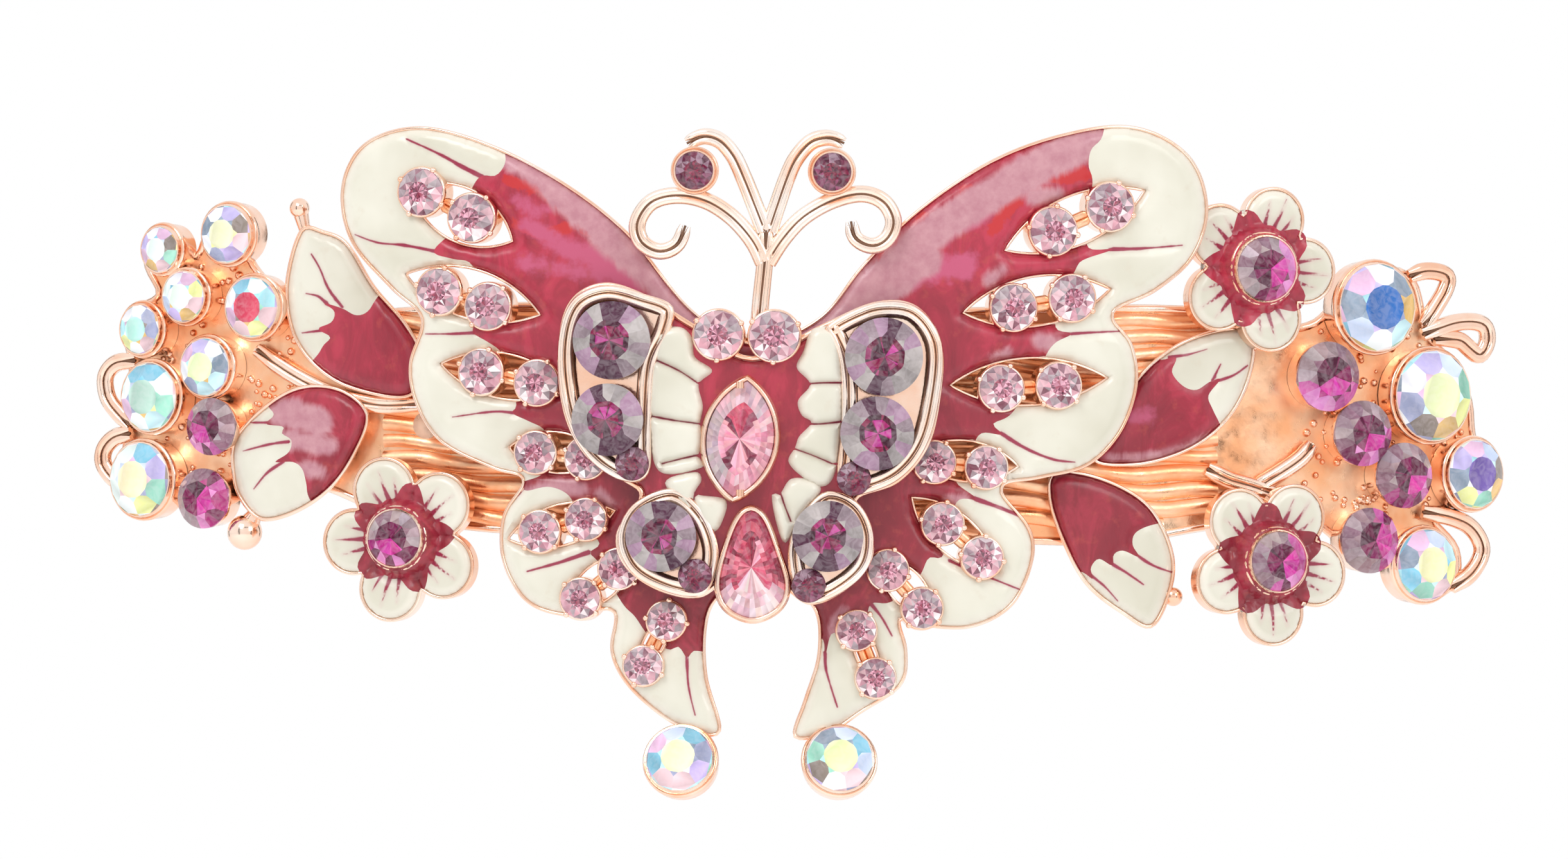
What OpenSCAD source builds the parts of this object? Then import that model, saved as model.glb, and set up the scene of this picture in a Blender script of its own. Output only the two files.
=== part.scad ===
// Arched French barrette: a pierced enamel butterfly, leaves, flowers and
// two clusters of rhinestones on a curved base, with a steel clip behind it.
// X runs along the clip, Z points up as worn, and the face looks towards -Y.

/* [Arch] */
// Radius of the back of the cast base, seen from above
arch_r = 80; // [78:0.5:84]
// Thickness of the cast base
base_t = 1.4; // [1.2:0.1:1.6]

/* [Butterfly] */
// Gap between the base and the big wings
wing_gap = 3; // [2.9:0.05:3.2]
// Thickness of the wing casting
wing_t = 1.2; // [1:0.1:1.4]
// Thickness of the enamel on wings, leaves and petals
enamel_t = 0.4; // [0.3:0.05:0.5]
// Height of the small butterfly above the big wings
small_gap = 2; // [1.9:0.1:2.4]
// Width of the gold border left round the enamel
border_w = 0.5; // [0.4:0.05:0.6]

/* [Stones] */
// Radius of the small pink wing stones
pink_r = 1.5; // [1.4:0.02:1.54]
// Wall thickness of every stone cup
cup_wall = 0.2; // [0.15:0.01:0.22]

/* [Clip] */
// Width of the steel bar
bar_w = 9; // [8.4:0.2:10]
// Thickness of the steel bar
bar_t = 1; // [0.8:0.1:1.1]
// Width of the latch arm
arm_w = 5; // [4.6:0.1:5.2]
// Radius of the latch arm's hinge pin
pin_r = 0.8; // [0.7:0.05:0.9]
// Running clearance round the hinge pin
pin_play = 0.05; // [0.03:0.01:0.08]

/* [Hidden] */
$fn = 48;

gold = [0.93, 0.68, 0.52];
steel = [0.75, 0.74, 0.76];
cream = [0.9, 0.88, 0.82];
crimson = [0.72, 0.2, 0.3];
pink = [0.9, 0.66, 0.74];
amethyst = [0.48, 0.12, 0.36];
crystal = [0.8, 0.9, 0.95];

// Radii of the layers, measured from the arch's axis, which runs along Z at y = arch_y
arch_y = 73;
base_f = arch_r + base_t;
wing_b = base_f + wing_gap;
wing_f = wing_b + wing_t;
wing_stone_r = wing_b + 2;
small_b = wing_f + small_gap;
small_t = 0.8;
small_f = small_b + small_t;
leaf_t = 1;
contact = 0.01;
reach = 60;
span = 140;

// Outline of the big butterfly, anticlockwise from the head
WINGS = [[-4, 4], [-8.5, 6.5], [-13, 12], [-18, 15.9], [-23.5, 18.7], [-28.5, 19.9], [-32.5, 18.7],
    [-34.2, 15.5], [-33.5, 11.5], [-30.5, 8], [-28.3, 5.8], [-29.2, 2.5], [-28.7, -0.5], [-26.8, -3.3],
    [-23, -5.2], [-20.8, -6], [-22.3, -8.6], [-22.3, -12], [-20.5, -15], [-17.3, -16], [-14.2, -15.6],
    [-14.4, -18.5], [-13.2, -21], [-10.5, -23.4], [-8, -24.6], [-6.3, -24.3], [-7.3, -20.5],
    [-7.4, -17], [-6.6, -14.7], [-4, -13.4], [0.2, -15], [0.8, -18.5], [-0.2, -22], [-1, -24.8],
    [1.5, -24.6], [4, -23], [6.9, -21], [7.3, -18.5], [6.8, -16.2], [8.5, -16.7], [12, -16.8],
    [15, -15.2], [16.5, -12], [16.3, -9.5], [14.2, -6.6], [17, -5.9], [20.5, -5], [23, -2.5], [24.2, 1],
    [23.8, 4], [22.4, 6.2], [25.5, 7.8], [28.3, 10.3], [29.4, 14], [28, 17.8], [24, 19.9], [19, 19.4],
    [13.5, 17.4], [8, 13.7], [4, 9.7], [0.8, 5.8]];
// Edge between the crimson middle and the cream lobes, from the top down
LEFT_EDGE = [[-22.3, 22], [-22.3, 17], [-24, 15.8], [-26.3, 13], [-27, 10.6], [-25.5, 8.5], [-24.6, 5],
    [-22.8, 3], [-21.2, -0.5], [-20.5, -3], [-19.5, -6], [-16.5, -7], [-15, -9], [-16.2, -12],
    [-13.5, -14.8], [-12.5, -17.5], [-9.8, -18.4], [-5, -18.6]];
RIGHT_EDGE = [[20.7, 22], [20.7, 17], [19.5, 14], [20.3, 10.3], [18.6, 7], [18, 3.8], [16.5, 0],
    [13.6, -2], [13, -4.5], [11.2, -6.5], [11, -9], [8.8, -12], [8, -14], [5, -15], [1.5, -17.2], [-3, -18.6]];

// Two stones and the pierced opening that they bridge:
// [first stone, second stone, middle of the opening, half length, half width]
LEFT_PAIRS = [[[-28.3, 15.1], [-24.6, 13.2], [-25.3, 13.4], 4.2, 2.5],
    [[-27, 7.8], [-23.4, 6.7], [-24.5, 7.6], 5.2, 2.3], [[-23.9, 1.9], [-19.8, 1.1], [-22.2, 1.6], 4.8, 2.1],
    [[-19.9, -4], [-16.2, -4.4], [-18.3, -4], 3.6, 1.9], [[-19.6, -9.8], [-16.2, -8.9], [-18, -9.3], 4.1, 1.9],
    [[-16.6, -14.7], [-13.8, -12.5], [-15.2, -13.5], 2.9, 1.7],
    [[-12, -19.6], [-10.3, -16.3], [-11.2, -17.9], 2.2, 1]];
RIGHT_PAIRS = [[[18, 12.2], [22.2, 14], [19.6, 13], 5.6, 2.3], [[15.1, 6.6], [19.4, 7.3], [16.8, 7.1], 5.5, 2.3],
    [[14.2, 0.7], [18.4, 0.9], [16.2, 1.2], 5.8, 2.2], [[9.3, -4.7], [13.1, -5.1], [11.5, -4.6], 4, 1.9],
    [[9.9, -9.2], [12.8, -11.7], [10.8, -10], 4.2, 1.9], [[5.9, -12.6], [8.4, -15.4], [7.3, -13.9], 2.9, 1.6],
    [[3.6, -17], [5, -20.5], [4.3, -18.7], 2.2, 1]];

TAIL_CUPS = [[-9, -27, 12], [2.2, -27, -12]];
tail_crystal_r = 2.4;

// Small butterfly: the plate and the four raised wire loops
SMALL = [[-4, 3], [-8, 5.2], [-12, 7.6], [-15, 8.4], [-17.4, 7], [-18.2, 3.5], [-17.8, -1], [-16.2, -4.2],
    [-13.5, -6], [-12.2, -7.2], [-13.9, -9.8], [-13.4, -12.2], [-11, -14], [-8, -14.6], [-6, -13.4],
    [-4, -12.8], [-2, -13.6], [0.2, -15.1], [2.8, -14], [4.7, -11.8], [4.6, -9.2], [3.6, -7.4], [6.6, -6.2],
    [8.8, -3.6], [9.7, 0], [9.8, 4], [8, 6.7], [5, 7], [1, 5.3]];
LOOPS = [[[-11.8, 6.8], [-14.8, 8.2], [-17.2, 7], [-18.1, 3.5], [-17.6, -1], [-16, -4.2], [-13.6, -5.9],
        [-11.8, -5.8], [-11.6, 0]],
    [[2.8, 5.6], [5, 6.8], [8, 6.5], [9.7, 4], [9.5, 0], [8.5, -3.6], [6.4, -6], [3.2, -7], [2.2, -6.2], [2.8, 0]],
    [[-10.4, -6.9], [-12.6, -7.8], [-13.7, -10.2], [-12.8, -12.6], [-10.4, -14], [-8, -14.4], [-7, -13.4],
        [-6.7, -11], [-7.8, -8.4]],
    [[1.7, -6.9], [3.6, -7.7], [4.7, -9.9], [4.3, -12.4], [2.3, -14.2], [0.3, -14.9], [-0.9, -13.8],
        [-1.3, -11], [-0.1, -8.4]]];
CREAM_BANDS = [[[-11, 4.6], [-8.7, 4.1], [-7.8, 2.4], [-7.6, 0.4], [-7.6, -4.6], [-10.8, -5.2]],
    [[2.1, 4.6], [0.3, 3.4], [-0.6, 1.4], [-0.5, -2], [-1, -4.6], [0.4, -5.9], [1.6, -5.2]],
    [[-9.6, -6.5], [-7.9, -5.8], [-6.5, -8], [-6.5, -9.6]],
    [[0.8, -6.7], [-1.6, -6.2], [-2.2, -8.2], [-1.8, -10]]];
loop_d = 0.9;
LARGE_AMETHYSTS = [[-14.3, 4.2, 2.75], [-14.6, -1.6, 2.55], [5.6, 3, 2.75], [5.1, -2.6, 2.6],
    [-10.7, -10.1, 2.5], [1.5, -10.1, 2.5]];
SMALL_AMETHYSTS = [[-12.8, -4.8, 1.1], [3.4, -5.9, 1.1], [-8.2, -13, 1.1], [0.1, -13.7, 1.1]];
HEAD = [[-6.5, 4.6, 1.75], [-2.4, 4.5, 1.8]];
WING_POSTS = [[-27, -2], [-9, -3.4], [1, -3.4], [21, 4.6]];
BUTTERFLY_POSTS = [[-9, 1.5], [1, 1.5]];
post_r = 1;
MARQUISE_AT = [-4.9, -3];
MARQUISE = [4.3, 2.5];
TAIL = [[-4.1, -8.2], [-5, -8.9], [-5.9, -11.2], [-6.4, -13.7], [-5.8, -15.3], [-4, -16.1],
    [-2.2, -15.3], [-1.6, -13.7], [-2.3, -11.2], [-3.2, -8.9]];

// Antennae: stem, two outer curls and two inner branches
ANTENNA_LINES = [[[-3.6, 4.6], [-3.4, 7], [-3.1, 10], [-3, 12.3]],
    [[-3.2, 9.9], [-4, 11.5], [-5.5, 13.2], [-7.4, 14.4], [-9.5, 14.8], [-11.4, 14.3], [-12.4, 12.8],
        [-12.1, 11.4], [-10.8, 10.7], [-9.5, 11.2], [-8.9, 12.6]],
    [[-2.9, 9.9], [-1.8, 11.6], [-0.3, 13.2], [1.8, 14.4], [4, 14.9], [5.6, 14.3], [6.3, 12.9],
        [5.8, 11.6], [4.7, 11.1], [3.5, 11.7], [3.2, 12.9]],
    [[-3.1, 12.2], [-3.8, 14], [-4.6, 16], [-5.4, 17.7], [-6.4, 18.8], [-7.6, 19.1], [-8.8, 18.6]],
    [[-2.8, 12.2], [-2.2, 14], [-1.5, 16], [-0.8, 17.5], [0.3, 18.7], [1.6, 19], [2.7, 18.6]]];
ANTENNA_STONES = [[-8.2, 16.6, 1.55], [1.8, 16.5, 1.55]];
ANTENNA_D = 0.9;

// Leaves: outline, edge of the cream tip as [inner, outer], the bead at the tip and the foot of its neck in the leaf
LEAVES = [
    [[[-37.3, 12.4], [-38.4, 8.5], [-38, 5], [-36.3, 2.4], [-33.5, 0.7], [-29.2, 0.1], [-28.3, 3],
        [-29.5, 5.5], [-31.8, 8.2], [-33.8, 11.4], [-35.6, 12.3]],
        [[-40, 1], [-36, 3], [-34.5, 6.5], [-31, 7], [-27, 16], [-40, 16]], [-37.4, 14, 0.75], [-36.9, 11.9]],
    [[[-32.3, -1.2], [-34.2, 0.6], [-37, 0.9], [-39.6, -0.3], [-42.2, -2.9], [-42.4, -5.6], [-41.8, -7.5],
        [-40.2, -9], [-37.6, -8.4], [-35, -6.6], [-33.2, -4]],
        [[-41, 2], [-39, -0.8], [-37.6, -3.5], [-36.4, -7.8], [-36, -12], [-46, -12], [-46, 2]], [-41.5, -9.9, 1.3], [-40.5, -8.1]],
    [[[21, -4.6], [22.6, -2], [24.2, 1.4], [27.1, 3.9], [30.6, 5.1], [32.8, 4.7], [32.6, 1.6], [31.1, -1.4],
        [28.3, -3.7], [24.5, -4.9]],
        [[25, 8], [27, 3], [28.5, 1], [30.2, -0.2], [31, -4], [36, -4], [36, 8]], [33.3, 5.5, 0.5], [32.3, 4.3]],
    [[[18.2, -5.4], [21.4, -5.8], [24.8, -7.6], [26.6, -10.5], [26.9, -13.4], [25.4, -16.8], [23.1, -15.8],
        [20.4, -13.6], [18.6, -10.2], [17.7, -7.2]],
        [[28, -8], [24.5, -9.8], [22.6, -12], [20, -13], [17, -18], [30, -18]], [26.9, -14.6, 0.7], [25.7, -14.2]]];

// Flowers: x, z, stone radius and the angle of the first petal
FLOWERS = [[-30, -10.3, 2.2, 40], [33.4, 9.5, 2.5, 70], [34.3, -12, 2.35, 58]];
petal_r = 2.1;
petal_out = 3.8;
flower_b = base_f + 1.5;
flower_t = 0.9;
flower_line = flower_b + 1.7;

LEFT_CRYSTALS = [[-47.8, 11, 1.75], [-42.8, 12.1, 2.2], [-49.3, 5.1, 1.9], [-46, 7.5, 1.95],
    [-40.9, 6.7, 2.3], [-48.6, 0.1, 2.6], [-44.4, 2.3, 2.2], [-49.3, -6, 2.8]];
LEFT_AMETHYSTS = [[-44, -2.1, 2], [-44.6, -7.4, 2.1]];
RIGHT_CRYSTALS = [[42, 6.7, 3.3], [46.2, 0.2, 3.4], [49.4, -5.6, 2.6], [45.7, -12.3, 2.7]];
RIGHT_AMETHYSTS = [[38.4, 1.6, 2.45], [41, -2.6, 2.3], [44.1, -5.7, 2.3], [41.5, -10.5, 2.3]];
cup_h = 2;
// Cluster stones whose cups the left leaves are cut back for
LEAF_NEIGHBOURS = [LEFT_CRYSTALS[4], LEFT_AMETHYSTS[0], LEFT_AMETHYSTS[1]];

// Base: outline with the two cluster plates, anticlockwise from the upper left
BASE = [[-39.2, 8], [-37.5, 5.4], [-30, 6.4], [-20, 6.8], [-11, 6.2], [-6.5, 4.6], [0, 4.6], [5, 6], [20, 6.6], [30, 6.4], [36.5, 5.2],
    [39.4, 7.6], [41.8, 9.4], [44.6, 9], [45.6, 5.6], [45.9, 4.5], [47.6, 2.8], [49, 0], [49.4, -3.2], [51.2, -5],
    [50.6, -7.2], [48, -7.9], [46.2, -8.8], [48, -11], [48, -13.6], [46, -14.6], [43, -12.6],
    [40.4, -12.2], [38.6, -10], [36, -8.8], [30, -9.4], [20, -10.6], [0, -9.6], [-20, -9.8], [-30, -8.6],
    [-36, -6.4], [-41, -6], [-42.8, -7.6], [-44.4, -9], [-46.4, -7.8], [-48.6, -8], [-50.9, -6.8],
    [-50.6, -4.2], [-50.3, -2.8], [-50.3, -1.6], [-50.2, -0.4], [-50, 1.8], [-50, 2.8], [-50.4, 4.4], [-49.8, 6.6],
    [-47.8, 7.6], [-48.8, 9.6], [-48.8, 11.4], [-47, 12.4], [-45.2, 10.2], [-43.8, 13.4], [-41.6, 13.2],
    [-41.2, 10.6], [-40.2, 9]];
LEFT_TWIGS = [[[-40.6, 3.6], [-38, 1.8], [-35, 0.3], [-31.5, -0.5], [-28, -0.4]],
    [[-49.7, 2.8], [-51.2, 2.6], [-52, 1.6], [-51.8, 0], [-50.9, -1.2], [-50.1, -2]],
    [[-50.1, -2.6], [-51.3, -2.9], [-52.1, -3.8], [-52.1, -5], [-51, -6.4]]];
RIGHT_TWIGS = [[[44.5, 9], [45.6, 9.4], [46.8, 9.3], [47.4, 8.9], [47.2, 8], [46.5, 6.8], [45.6, 5.4]],
    [[45.5, 4.7], [48, 5.6], [50, 5.5], [50.4, 4.3], [49.8, 3.2], [49, 3.7], [48.2, 4.3], [46.4, 4.4]],
    [[45.5, -8.4], [47.6, -8.8], [49.2, -9.6], [50, -11.2], [49.2, -12.9], [47.7, -14]],
    [[37.2, -3.4], [36.4, -4.4], [35, -5.4], [33, -6.6]], [[29.4, -5.2], [31, -6], [33, -6.6], [35.4, -7.6]]];
TWIG_D = 1;

// Steel clip
bar_len = 79;
hinge_at = [37, 6.5];
lug_in = 2.9;
lug_t = 1;
spring_t = 0.4;
spring_w = 5;
spring_half = 30;
spring_r = 133.1;
spring_y = 130;
arm_t = 0.8;
arm_r = 204;
arm_y = 207.5;
head_w = 6.6;
window = [3, 3.6];
window_x = -36;
bracket_x = [-38.6, -34];
bracket_y = 4.6;
ear_at = [5.4, 1.5];
ear_w = 1.8;
rivet_x = [-24, -12, 12, 24];

// ---- curve helpers ----
function cat(a, b, c, d, t) = 0.5 * (2 * b + (c - a) * t + (2 * a - 5 * b + 4 * c - d) * t * t
    + (3 * b - a - 3 * c + d) * t * t * t);
function ring(P, n = 3) = let (m = len(P)) [for (i = [0 : m - 1]) for (k = [0 : n - 1])
    cat(P[(i + m - 1) % m], P[i], P[(i + 1) % m], P[(i + 2) % m], k / n)];
function path(P, n = 2) = let (m = len(P) - 1) concat([for (i = [0 : m - 1]) for (k = [0 : n - 1])
    cat(P[max(i - 1, 0)], P[i], P[i + 1], P[min(i + 2, m)], k / n)], [P[m]]);
function turn(P) = let (m = len(P)) [for (i = [0 : m - 1]) P[i][0] * P[(i + 1) % m][1] - P[i][1] * P[(i + 1) % m][0]];
function total(v, i = 0) = i < len(v) ? v[i] + total(v, i + 1) : 0;
function inset(P, d) = let (m = len(P), s = sign(total(turn(P)))) [for (i = [0 : m - 1])
    let (t = P[(i + 1) % m] - P[(i + m - 1) % m]) P[i] + s * d * [-t[1], t[0]] / norm(t)];
function on_face(p, r) = [p[0], arch_y - sqrt(r * r - p[0] * p[0]), p[1]];
function axis_angle(a, b) = atan2(b[1] - a[1], b[0] - a[0]);

// ---- placing helpers ----
// Bends a flat outline, drawn in X and Z, into the curved layer between two radii
module layer(r0, r1) {
    intersection() {
        translate([0, arch_y, -reach]) difference() {
            cylinder(r = r1, h = 2 * reach, $fn = 360);
            translate([0, 0, -1]) cylinder(r = r0, h = 2 * reach + 2, $fn = 360);
        }
        translate([0, arch_y / 2, 0]) rotate([90, 0, 0]) linear_extrude(span, center = true) children();
    }
}
// Stands children on the arch at x, z and radius r, with their own Z pointing out;
// for parts that share one line, that line passes x at radius line_r
module stand(x, z, r, spin = 0, line_r = 0) {
    translate([0, arch_y, 0]) rotate([0, 0, asin(x / (line_r > 0 ? line_r : r))]) rotate([90, 0, 0])
        translate([0, z, r]) rotate([0, 0, spin]) children();
}
// Round stone with a pointed back, its girdle at height 0
module gem(r) {
    rotate_extrude() polygon([[0, -0.55 * r], [0.3 * r, -0.55 * r], [r, 0], [0.6 * r, 0.32 * r], [0, 0.32 * r]]);
}
module gems(list, r_girdle) {
    for (s = list) stand(s[0], s[1], r_girdle) gem(s[2]);
}
// Open cup round a stone, from the layer it stands on up to the stone's girdle
module cup(r, h) {
    difference() {
        cylinder(r = r + cup_wall, h = h);
        translate([0, 0, -1]) cylinder(r = r + contact, h = h + 2);
    }
}
module cups(list, r0, h) {
    for (s = list) stand(s[0], s[1], r0 + contact, 0, r0 + h) cup(s[2], h);
}
module lens(l, w) {
    r = (l * l + w * w) / (2 * w);
    intersection() {
        translate([0, r - w]) circle(r, $fn = 96);
        translate([0, w - r]) circle(r, $fn = 96);
    }
}
module opening(pair, grow = 0) {
    translate(pair[2]) rotate(axis_angle(pair[0], pair[1])) lens(pair[3] + grow, pair[4] + grow);
}
module bridge(pair) {
    translate(pair[2]) rotate(axis_angle(pair[0], pair[1])) square([2 * pair[3] + 1, 1], center = true);
}
// Short bar between the two cups of a pair
module link(pair, w) {
    translate((pair[0] + pair[1]) / 2) rotate(axis_angle(pair[0], pair[1]))
        square([norm(pair[1] - pair[0]), w], center = true);
}
function stones_of(pairs, r) = [for (p = pairs) for (k = [0, 1]) [p[k][0], p[k][1], r]];
// Round wire through points on the face, as a chain of short straight pieces
module chain(Q, r, d) {
    for (i = [0 : len(Q) - 2]) hull() {
        translate(on_face(Q[i], r)) sphere(d = d, $fn = 8);
        translate(on_face(Q[i + 1], r)) sphere(d = d, $fn = 8);
    }
}
module wire(P, r, d) chain(path(P), r, d);

// ---- base ----
module base_frame() {
    color(gold) difference() {
        layer(arch_r, base_f) {
            polygon(ring(BASE));
            for (f = FLOWERS) translate([f[0], f[1]]) circle(3);
        }
        // lengthwise grooves on the face
        for (z = [-7.5 : 2 : 5.5]) translate([0, arch_y, z]) difference() {
            cylinder(r = base_f + 1, h = 0.8, $fn = 360);
            translate([0, 0, -1]) cylinder(r = base_f - 0.3, h = 3, $fn = 360);
            translate([-span / 2, -span / 2 - 36, -1]) cube([span / 2 - 26, span, 3]);
            translate([26, -span / 2 - 36, -1]) cube([span, span, 3]);
            translate([-span, 0, -1]) cube([2 * span, span, 3]);
        }
    }
}
module wing_posts() {
    color(gold) for (p = WING_POSTS)
        stand(p[0], p[1], base_f + contact) cylinder(r = post_r, h = wing_gap - 2 * contact);
}

// ---- big butterfly ----
module wing_outline(side) {
    intersection() {
        polygon(inset(ring(WINGS), border_w));
        translate([side < 0 ? -50 : -4, -40]) square([side < 0 ? 46 : 54, 80]);
    }
}
module wing_casting() {
    color(gold) difference() {
        layer(wing_b, wing_f) difference() {
            polygon(ring(WINGS));
            for (p = concat(LEFT_PAIRS, RIGHT_PAIRS)) difference() {
                opening(p);
                difference() {
                    bridge(p);
                    link(p, 3);
                }
            }
        }
        for (s = stones_of(concat(LEFT_PAIRS, RIGHT_PAIRS), pink_r + cup_wall))
            stand(s[0], s[1], wing_b - 1, 0, wing_stone_r) cylinder(r = s[2], h = 4);
    }
}
module stone_links() {
    color(gold) difference() {
        layer(wing_b + 0.1, wing_f - 0.1) for (p = concat(LEFT_PAIRS, RIGHT_PAIRS)) link(p, 0.9);
        for (s = stones_of(concat(LEFT_PAIRS, RIGHT_PAIRS), pink_r + cup_wall + contact))
            stand(s[0], s[1], wing_b - 1, 0, wing_stone_r) cylinder(r = s[2], h = 4);
    }
}
module wing_enamel(pairs, side, edge, inner) {
    far = side * 60;
    difference() {
        layer(wing_f, wing_f + enamel_t) difference() {
            intersection() {
                wing_outline(side);
                if (inner) polygon(concat(edge, [[0, -40], [-4, -40], [-4, 40], [edge[0][0], 40]]));
                else polygon(concat(edge, [[edge[len(edge) - 1][0], -40], [far, -40], [far, 40], [edge[0][0], 40]]));
            }
            for (p = pairs) opening(p, 0.3);
        }
        for (s = stones_of(pairs, pink_r + cup_wall + 0.15))
            stand(s[0], s[1], wing_b, 0, wing_stone_r) cylinder(r = s[2], h = 4);
        for (p = BUTTERFLY_POSTS) stand(p[0], p[1], wing_b) cylinder(r = post_r + 0.3, h = 4);
    }
}
module wing_cups(pairs) {
    color(gold) for (s = stones_of(pairs, pink_r)) stand(s[0], s[1], wing_b + 0.2, 0, wing_stone_r) cup(s[2], 1.8);
}
module wing_stones(pairs) {
    color(pink) gems(stones_of(pairs, pink_r), wing_stone_r);
}
// The two cups lean down and outwards at the ends of the tails
module at_tails() {
    for (s = TAIL_CUPS) stand(s[0], s[1], wing_b + 0.6, s[2]) rotate([-18, 0, 0]) children();
}
module tail_cups() {
    color(gold) at_tails() {
        cylinder(r = tail_crystal_r + cup_wall, h = 0.6);
        translate([0, 0, 0.6]) cup(tail_crystal_r, 1.3);
    }
}
module tail_crystals() {
    color(crystal) at_tails() translate([0, 0, 1.95]) gem(tail_crystal_r);
}

// ---- small butterfly ----
module butterfly_posts() {
    color(gold) for (p = BUTTERFLY_POSTS)
        stand(p[0], p[1], wing_f + contact) cylinder(r = post_r, h = small_gap - 2 * contact);
}
module small_butterfly_casting() {
    color(gold) layer(small_b, small_f) {
        polygon(ring(SMALL));
        for (h = HEAD) translate([h[0], h[1]]) circle(h[2] + cup_wall);
    }
}
module wing_loops() {
    color(gold) for (l = LOOPS) {
        Q = inset(ring(l, 2), loop_d / 2);
        chain(concat(Q, [Q[0]]), small_f + loop_d / 2 + contact, loop_d);
    }
}
module band_shapes() {
    for (b = CREAM_BANDS) polygon(inset(ring(b), 0.1));
}
module small_butterfly_cream_enamel() {
    color(cream) layer(small_f, small_f + 0.5) difference() {
        band_shapes();
        marquise_shape(0.4);
    }
}
module small_butterfly_crimson_enamel() {
    color(crimson) layer(small_f, small_f + 0.25) difference() {
        translate([-7.4, -7]) square([6.6, 10]);
        for (b = CREAM_BANDS) polygon(inset(ring(b), -0.1));
        for (h = HEAD) translate([h[0], h[1]]) circle(h[2] + cup_wall + 0.1);
        marquise_shape(0.6);
    }
}
module large_amethysts() {
    color(amethyst) gems(LARGE_AMETHYSTS, small_f + 1.55);
}
module small_amethysts() {
    color(amethyst) gems(SMALL_AMETHYSTS, small_f + 1);
}
module head_cups() {
    color(gold) cups(HEAD, small_f, 1.1);
}
module head_stones() {
    color(pink) gems(HEAD, small_f + 1.1);
}
module marquise_shape(grow) {
    translate(MARQUISE_AT) rotate(83) lens(MARQUISE[0] + grow, MARQUISE[1] + grow);
}
module marquise_setting() {
    color(gold) layer(small_f, small_f + 1) difference() {
        marquise_shape(0.3);
        marquise_shape(0);
    }
}
module marquise_stone() {
    color(pink) layer(small_f + 0.1, small_f + 1.9) marquise_shape(-0.05);
}
module tail_shape(grow) polygon(inset(ring(TAIL), -grow));
module tail_setting() {
    color(gold) layer(small_f + 0.01, small_f + 1.2) difference() {
        tail_shape(0.3);
        tail_shape(0);
    }
}
module tail_stone() {
    color(crimson) layer(small_f + 0.1, small_f + 2) tail_shape(-0.05);
}

// ---- antennae ----
module antennae() {
    color(gold) for (line = ANTENNA_LINES) wire(line, small_b - ANTENNA_D / 2, ANTENNA_D);
}
module antenna_cups() {
    color(gold) for (s = ANTENNA_STONES) stand(s[0], s[1], small_b - 0.9, 0, small_b + 0.5) {
        cylinder(r = s[2] + cup_wall, h = 0.5);
        translate([0, 0, 0.5]) cup(s[2], 0.9);
    }
}
module antenna_stones() {
    color(amethyst) gems(ANTENNA_STONES, small_b + 0.5);
}

// ---- leaves ----
module tip_bead(l, grow) hull() {
    translate(on_face(l[2], base_f + l[2][2] + 0.02)) sphere(r = l[2][2] + grow, $fn = 24);
    translate(on_face(l[3], base_f + leaf_t / 2 + 0.02)) sphere(r = leaf_t / 2 - 0.02 + grow, $fn = 24);
}
module leaf(l) {
    color(gold) {
        difference() {
            layer(base_f, base_f + leaf_t) polygon(ring(l[0]));
            for (s = LEAF_NEIGHBOURS) stand(s[0], s[1], base_f - 0.5, 0, base_f + cup_h) cylinder(r = s[2] + 0.1, h = 3);
        }
        tip_bead(l, 0);
    }
}
module leaf_enamel(inner) {
    for (l = LEAVES) difference() {
        layer(base_f + leaf_t, base_f + leaf_t + enamel_t) {
            if (inner) difference() {
                polygon(inset(ring(l[0]), border_w));
                polygon(l[1]);
            }
            else intersection() {
                polygon(inset(ring(l[0]), border_w));
                polygon(l[1]);
            }
        }
        tip_bead(l, 0.05);
    }
}

// ---- flowers ----
module petals(f, out, r, h, z) {
    for (k = [0 : 4]) stand(f[0], f[1], flower_b, f[3] + 72 * k, flower_line)
        translate([out, 0, z]) cylinder(r = r, h = h);
}
module flower(f) {
    color(gold) {
        stand(f[0], f[1], base_f + contact, 0, flower_line) cylinder(r = 1.4, h = flower_b - base_f);
        stand(f[0], f[1], flower_b, 0, flower_line) cylinder(r = 3.2, h = flower_t);
        petals(f, petal_out, petal_r, flower_t, 0);
    }
}
module flower_enamel(inner) {
    for (f = FLOWERS) for (k = [0 : 4]) stand(f[0], f[1], flower_b, f[3] + 72 * k, flower_line)
        translate([0, 0, flower_t]) linear_extrude(enamel_t) difference() {
            intersection() {
                translate([petal_out, 0]) circle(petal_r - 0.2);
                polygon([[0, 0], [9, -6.5], [9, 6.5]]);
            }
            if (inner) translate([petal_out + 0.2, -5]) square([6, 10]);
            else translate([petal_out + 0.2 - 6, -5]) square([6, 10]);
            circle(f[2] + 0.6);
        }
}
module flower_cups() {
    color(gold) for (f = FLOWERS) stand(f[0], f[1], flower_b + flower_t + contact, 0, flower_line) cup(f[2], 1.6);
}
module flower_amethysts() {
    color(amethyst) for (f = FLOWERS) stand(f[0], f[1], flower_b + flower_t + 1.6, 0, flower_line) gem(f[2]);
}

// ---- clusters ----
module cluster_cups(list) {
    color(gold) cups([for (s = list) [s[0], s[1], s[2] - cup_wall]], base_f, cup_h);
}
module cluster_stones(list) {
    gems([for (s = list) [s[0], s[1], s[2] - cup_wall]], base_f + cup_h);
}
module twigs(lines) {
    color(gold) for (l = lines) wire(l, base_f + TWIG_D / 2, TWIG_D);
}

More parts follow.
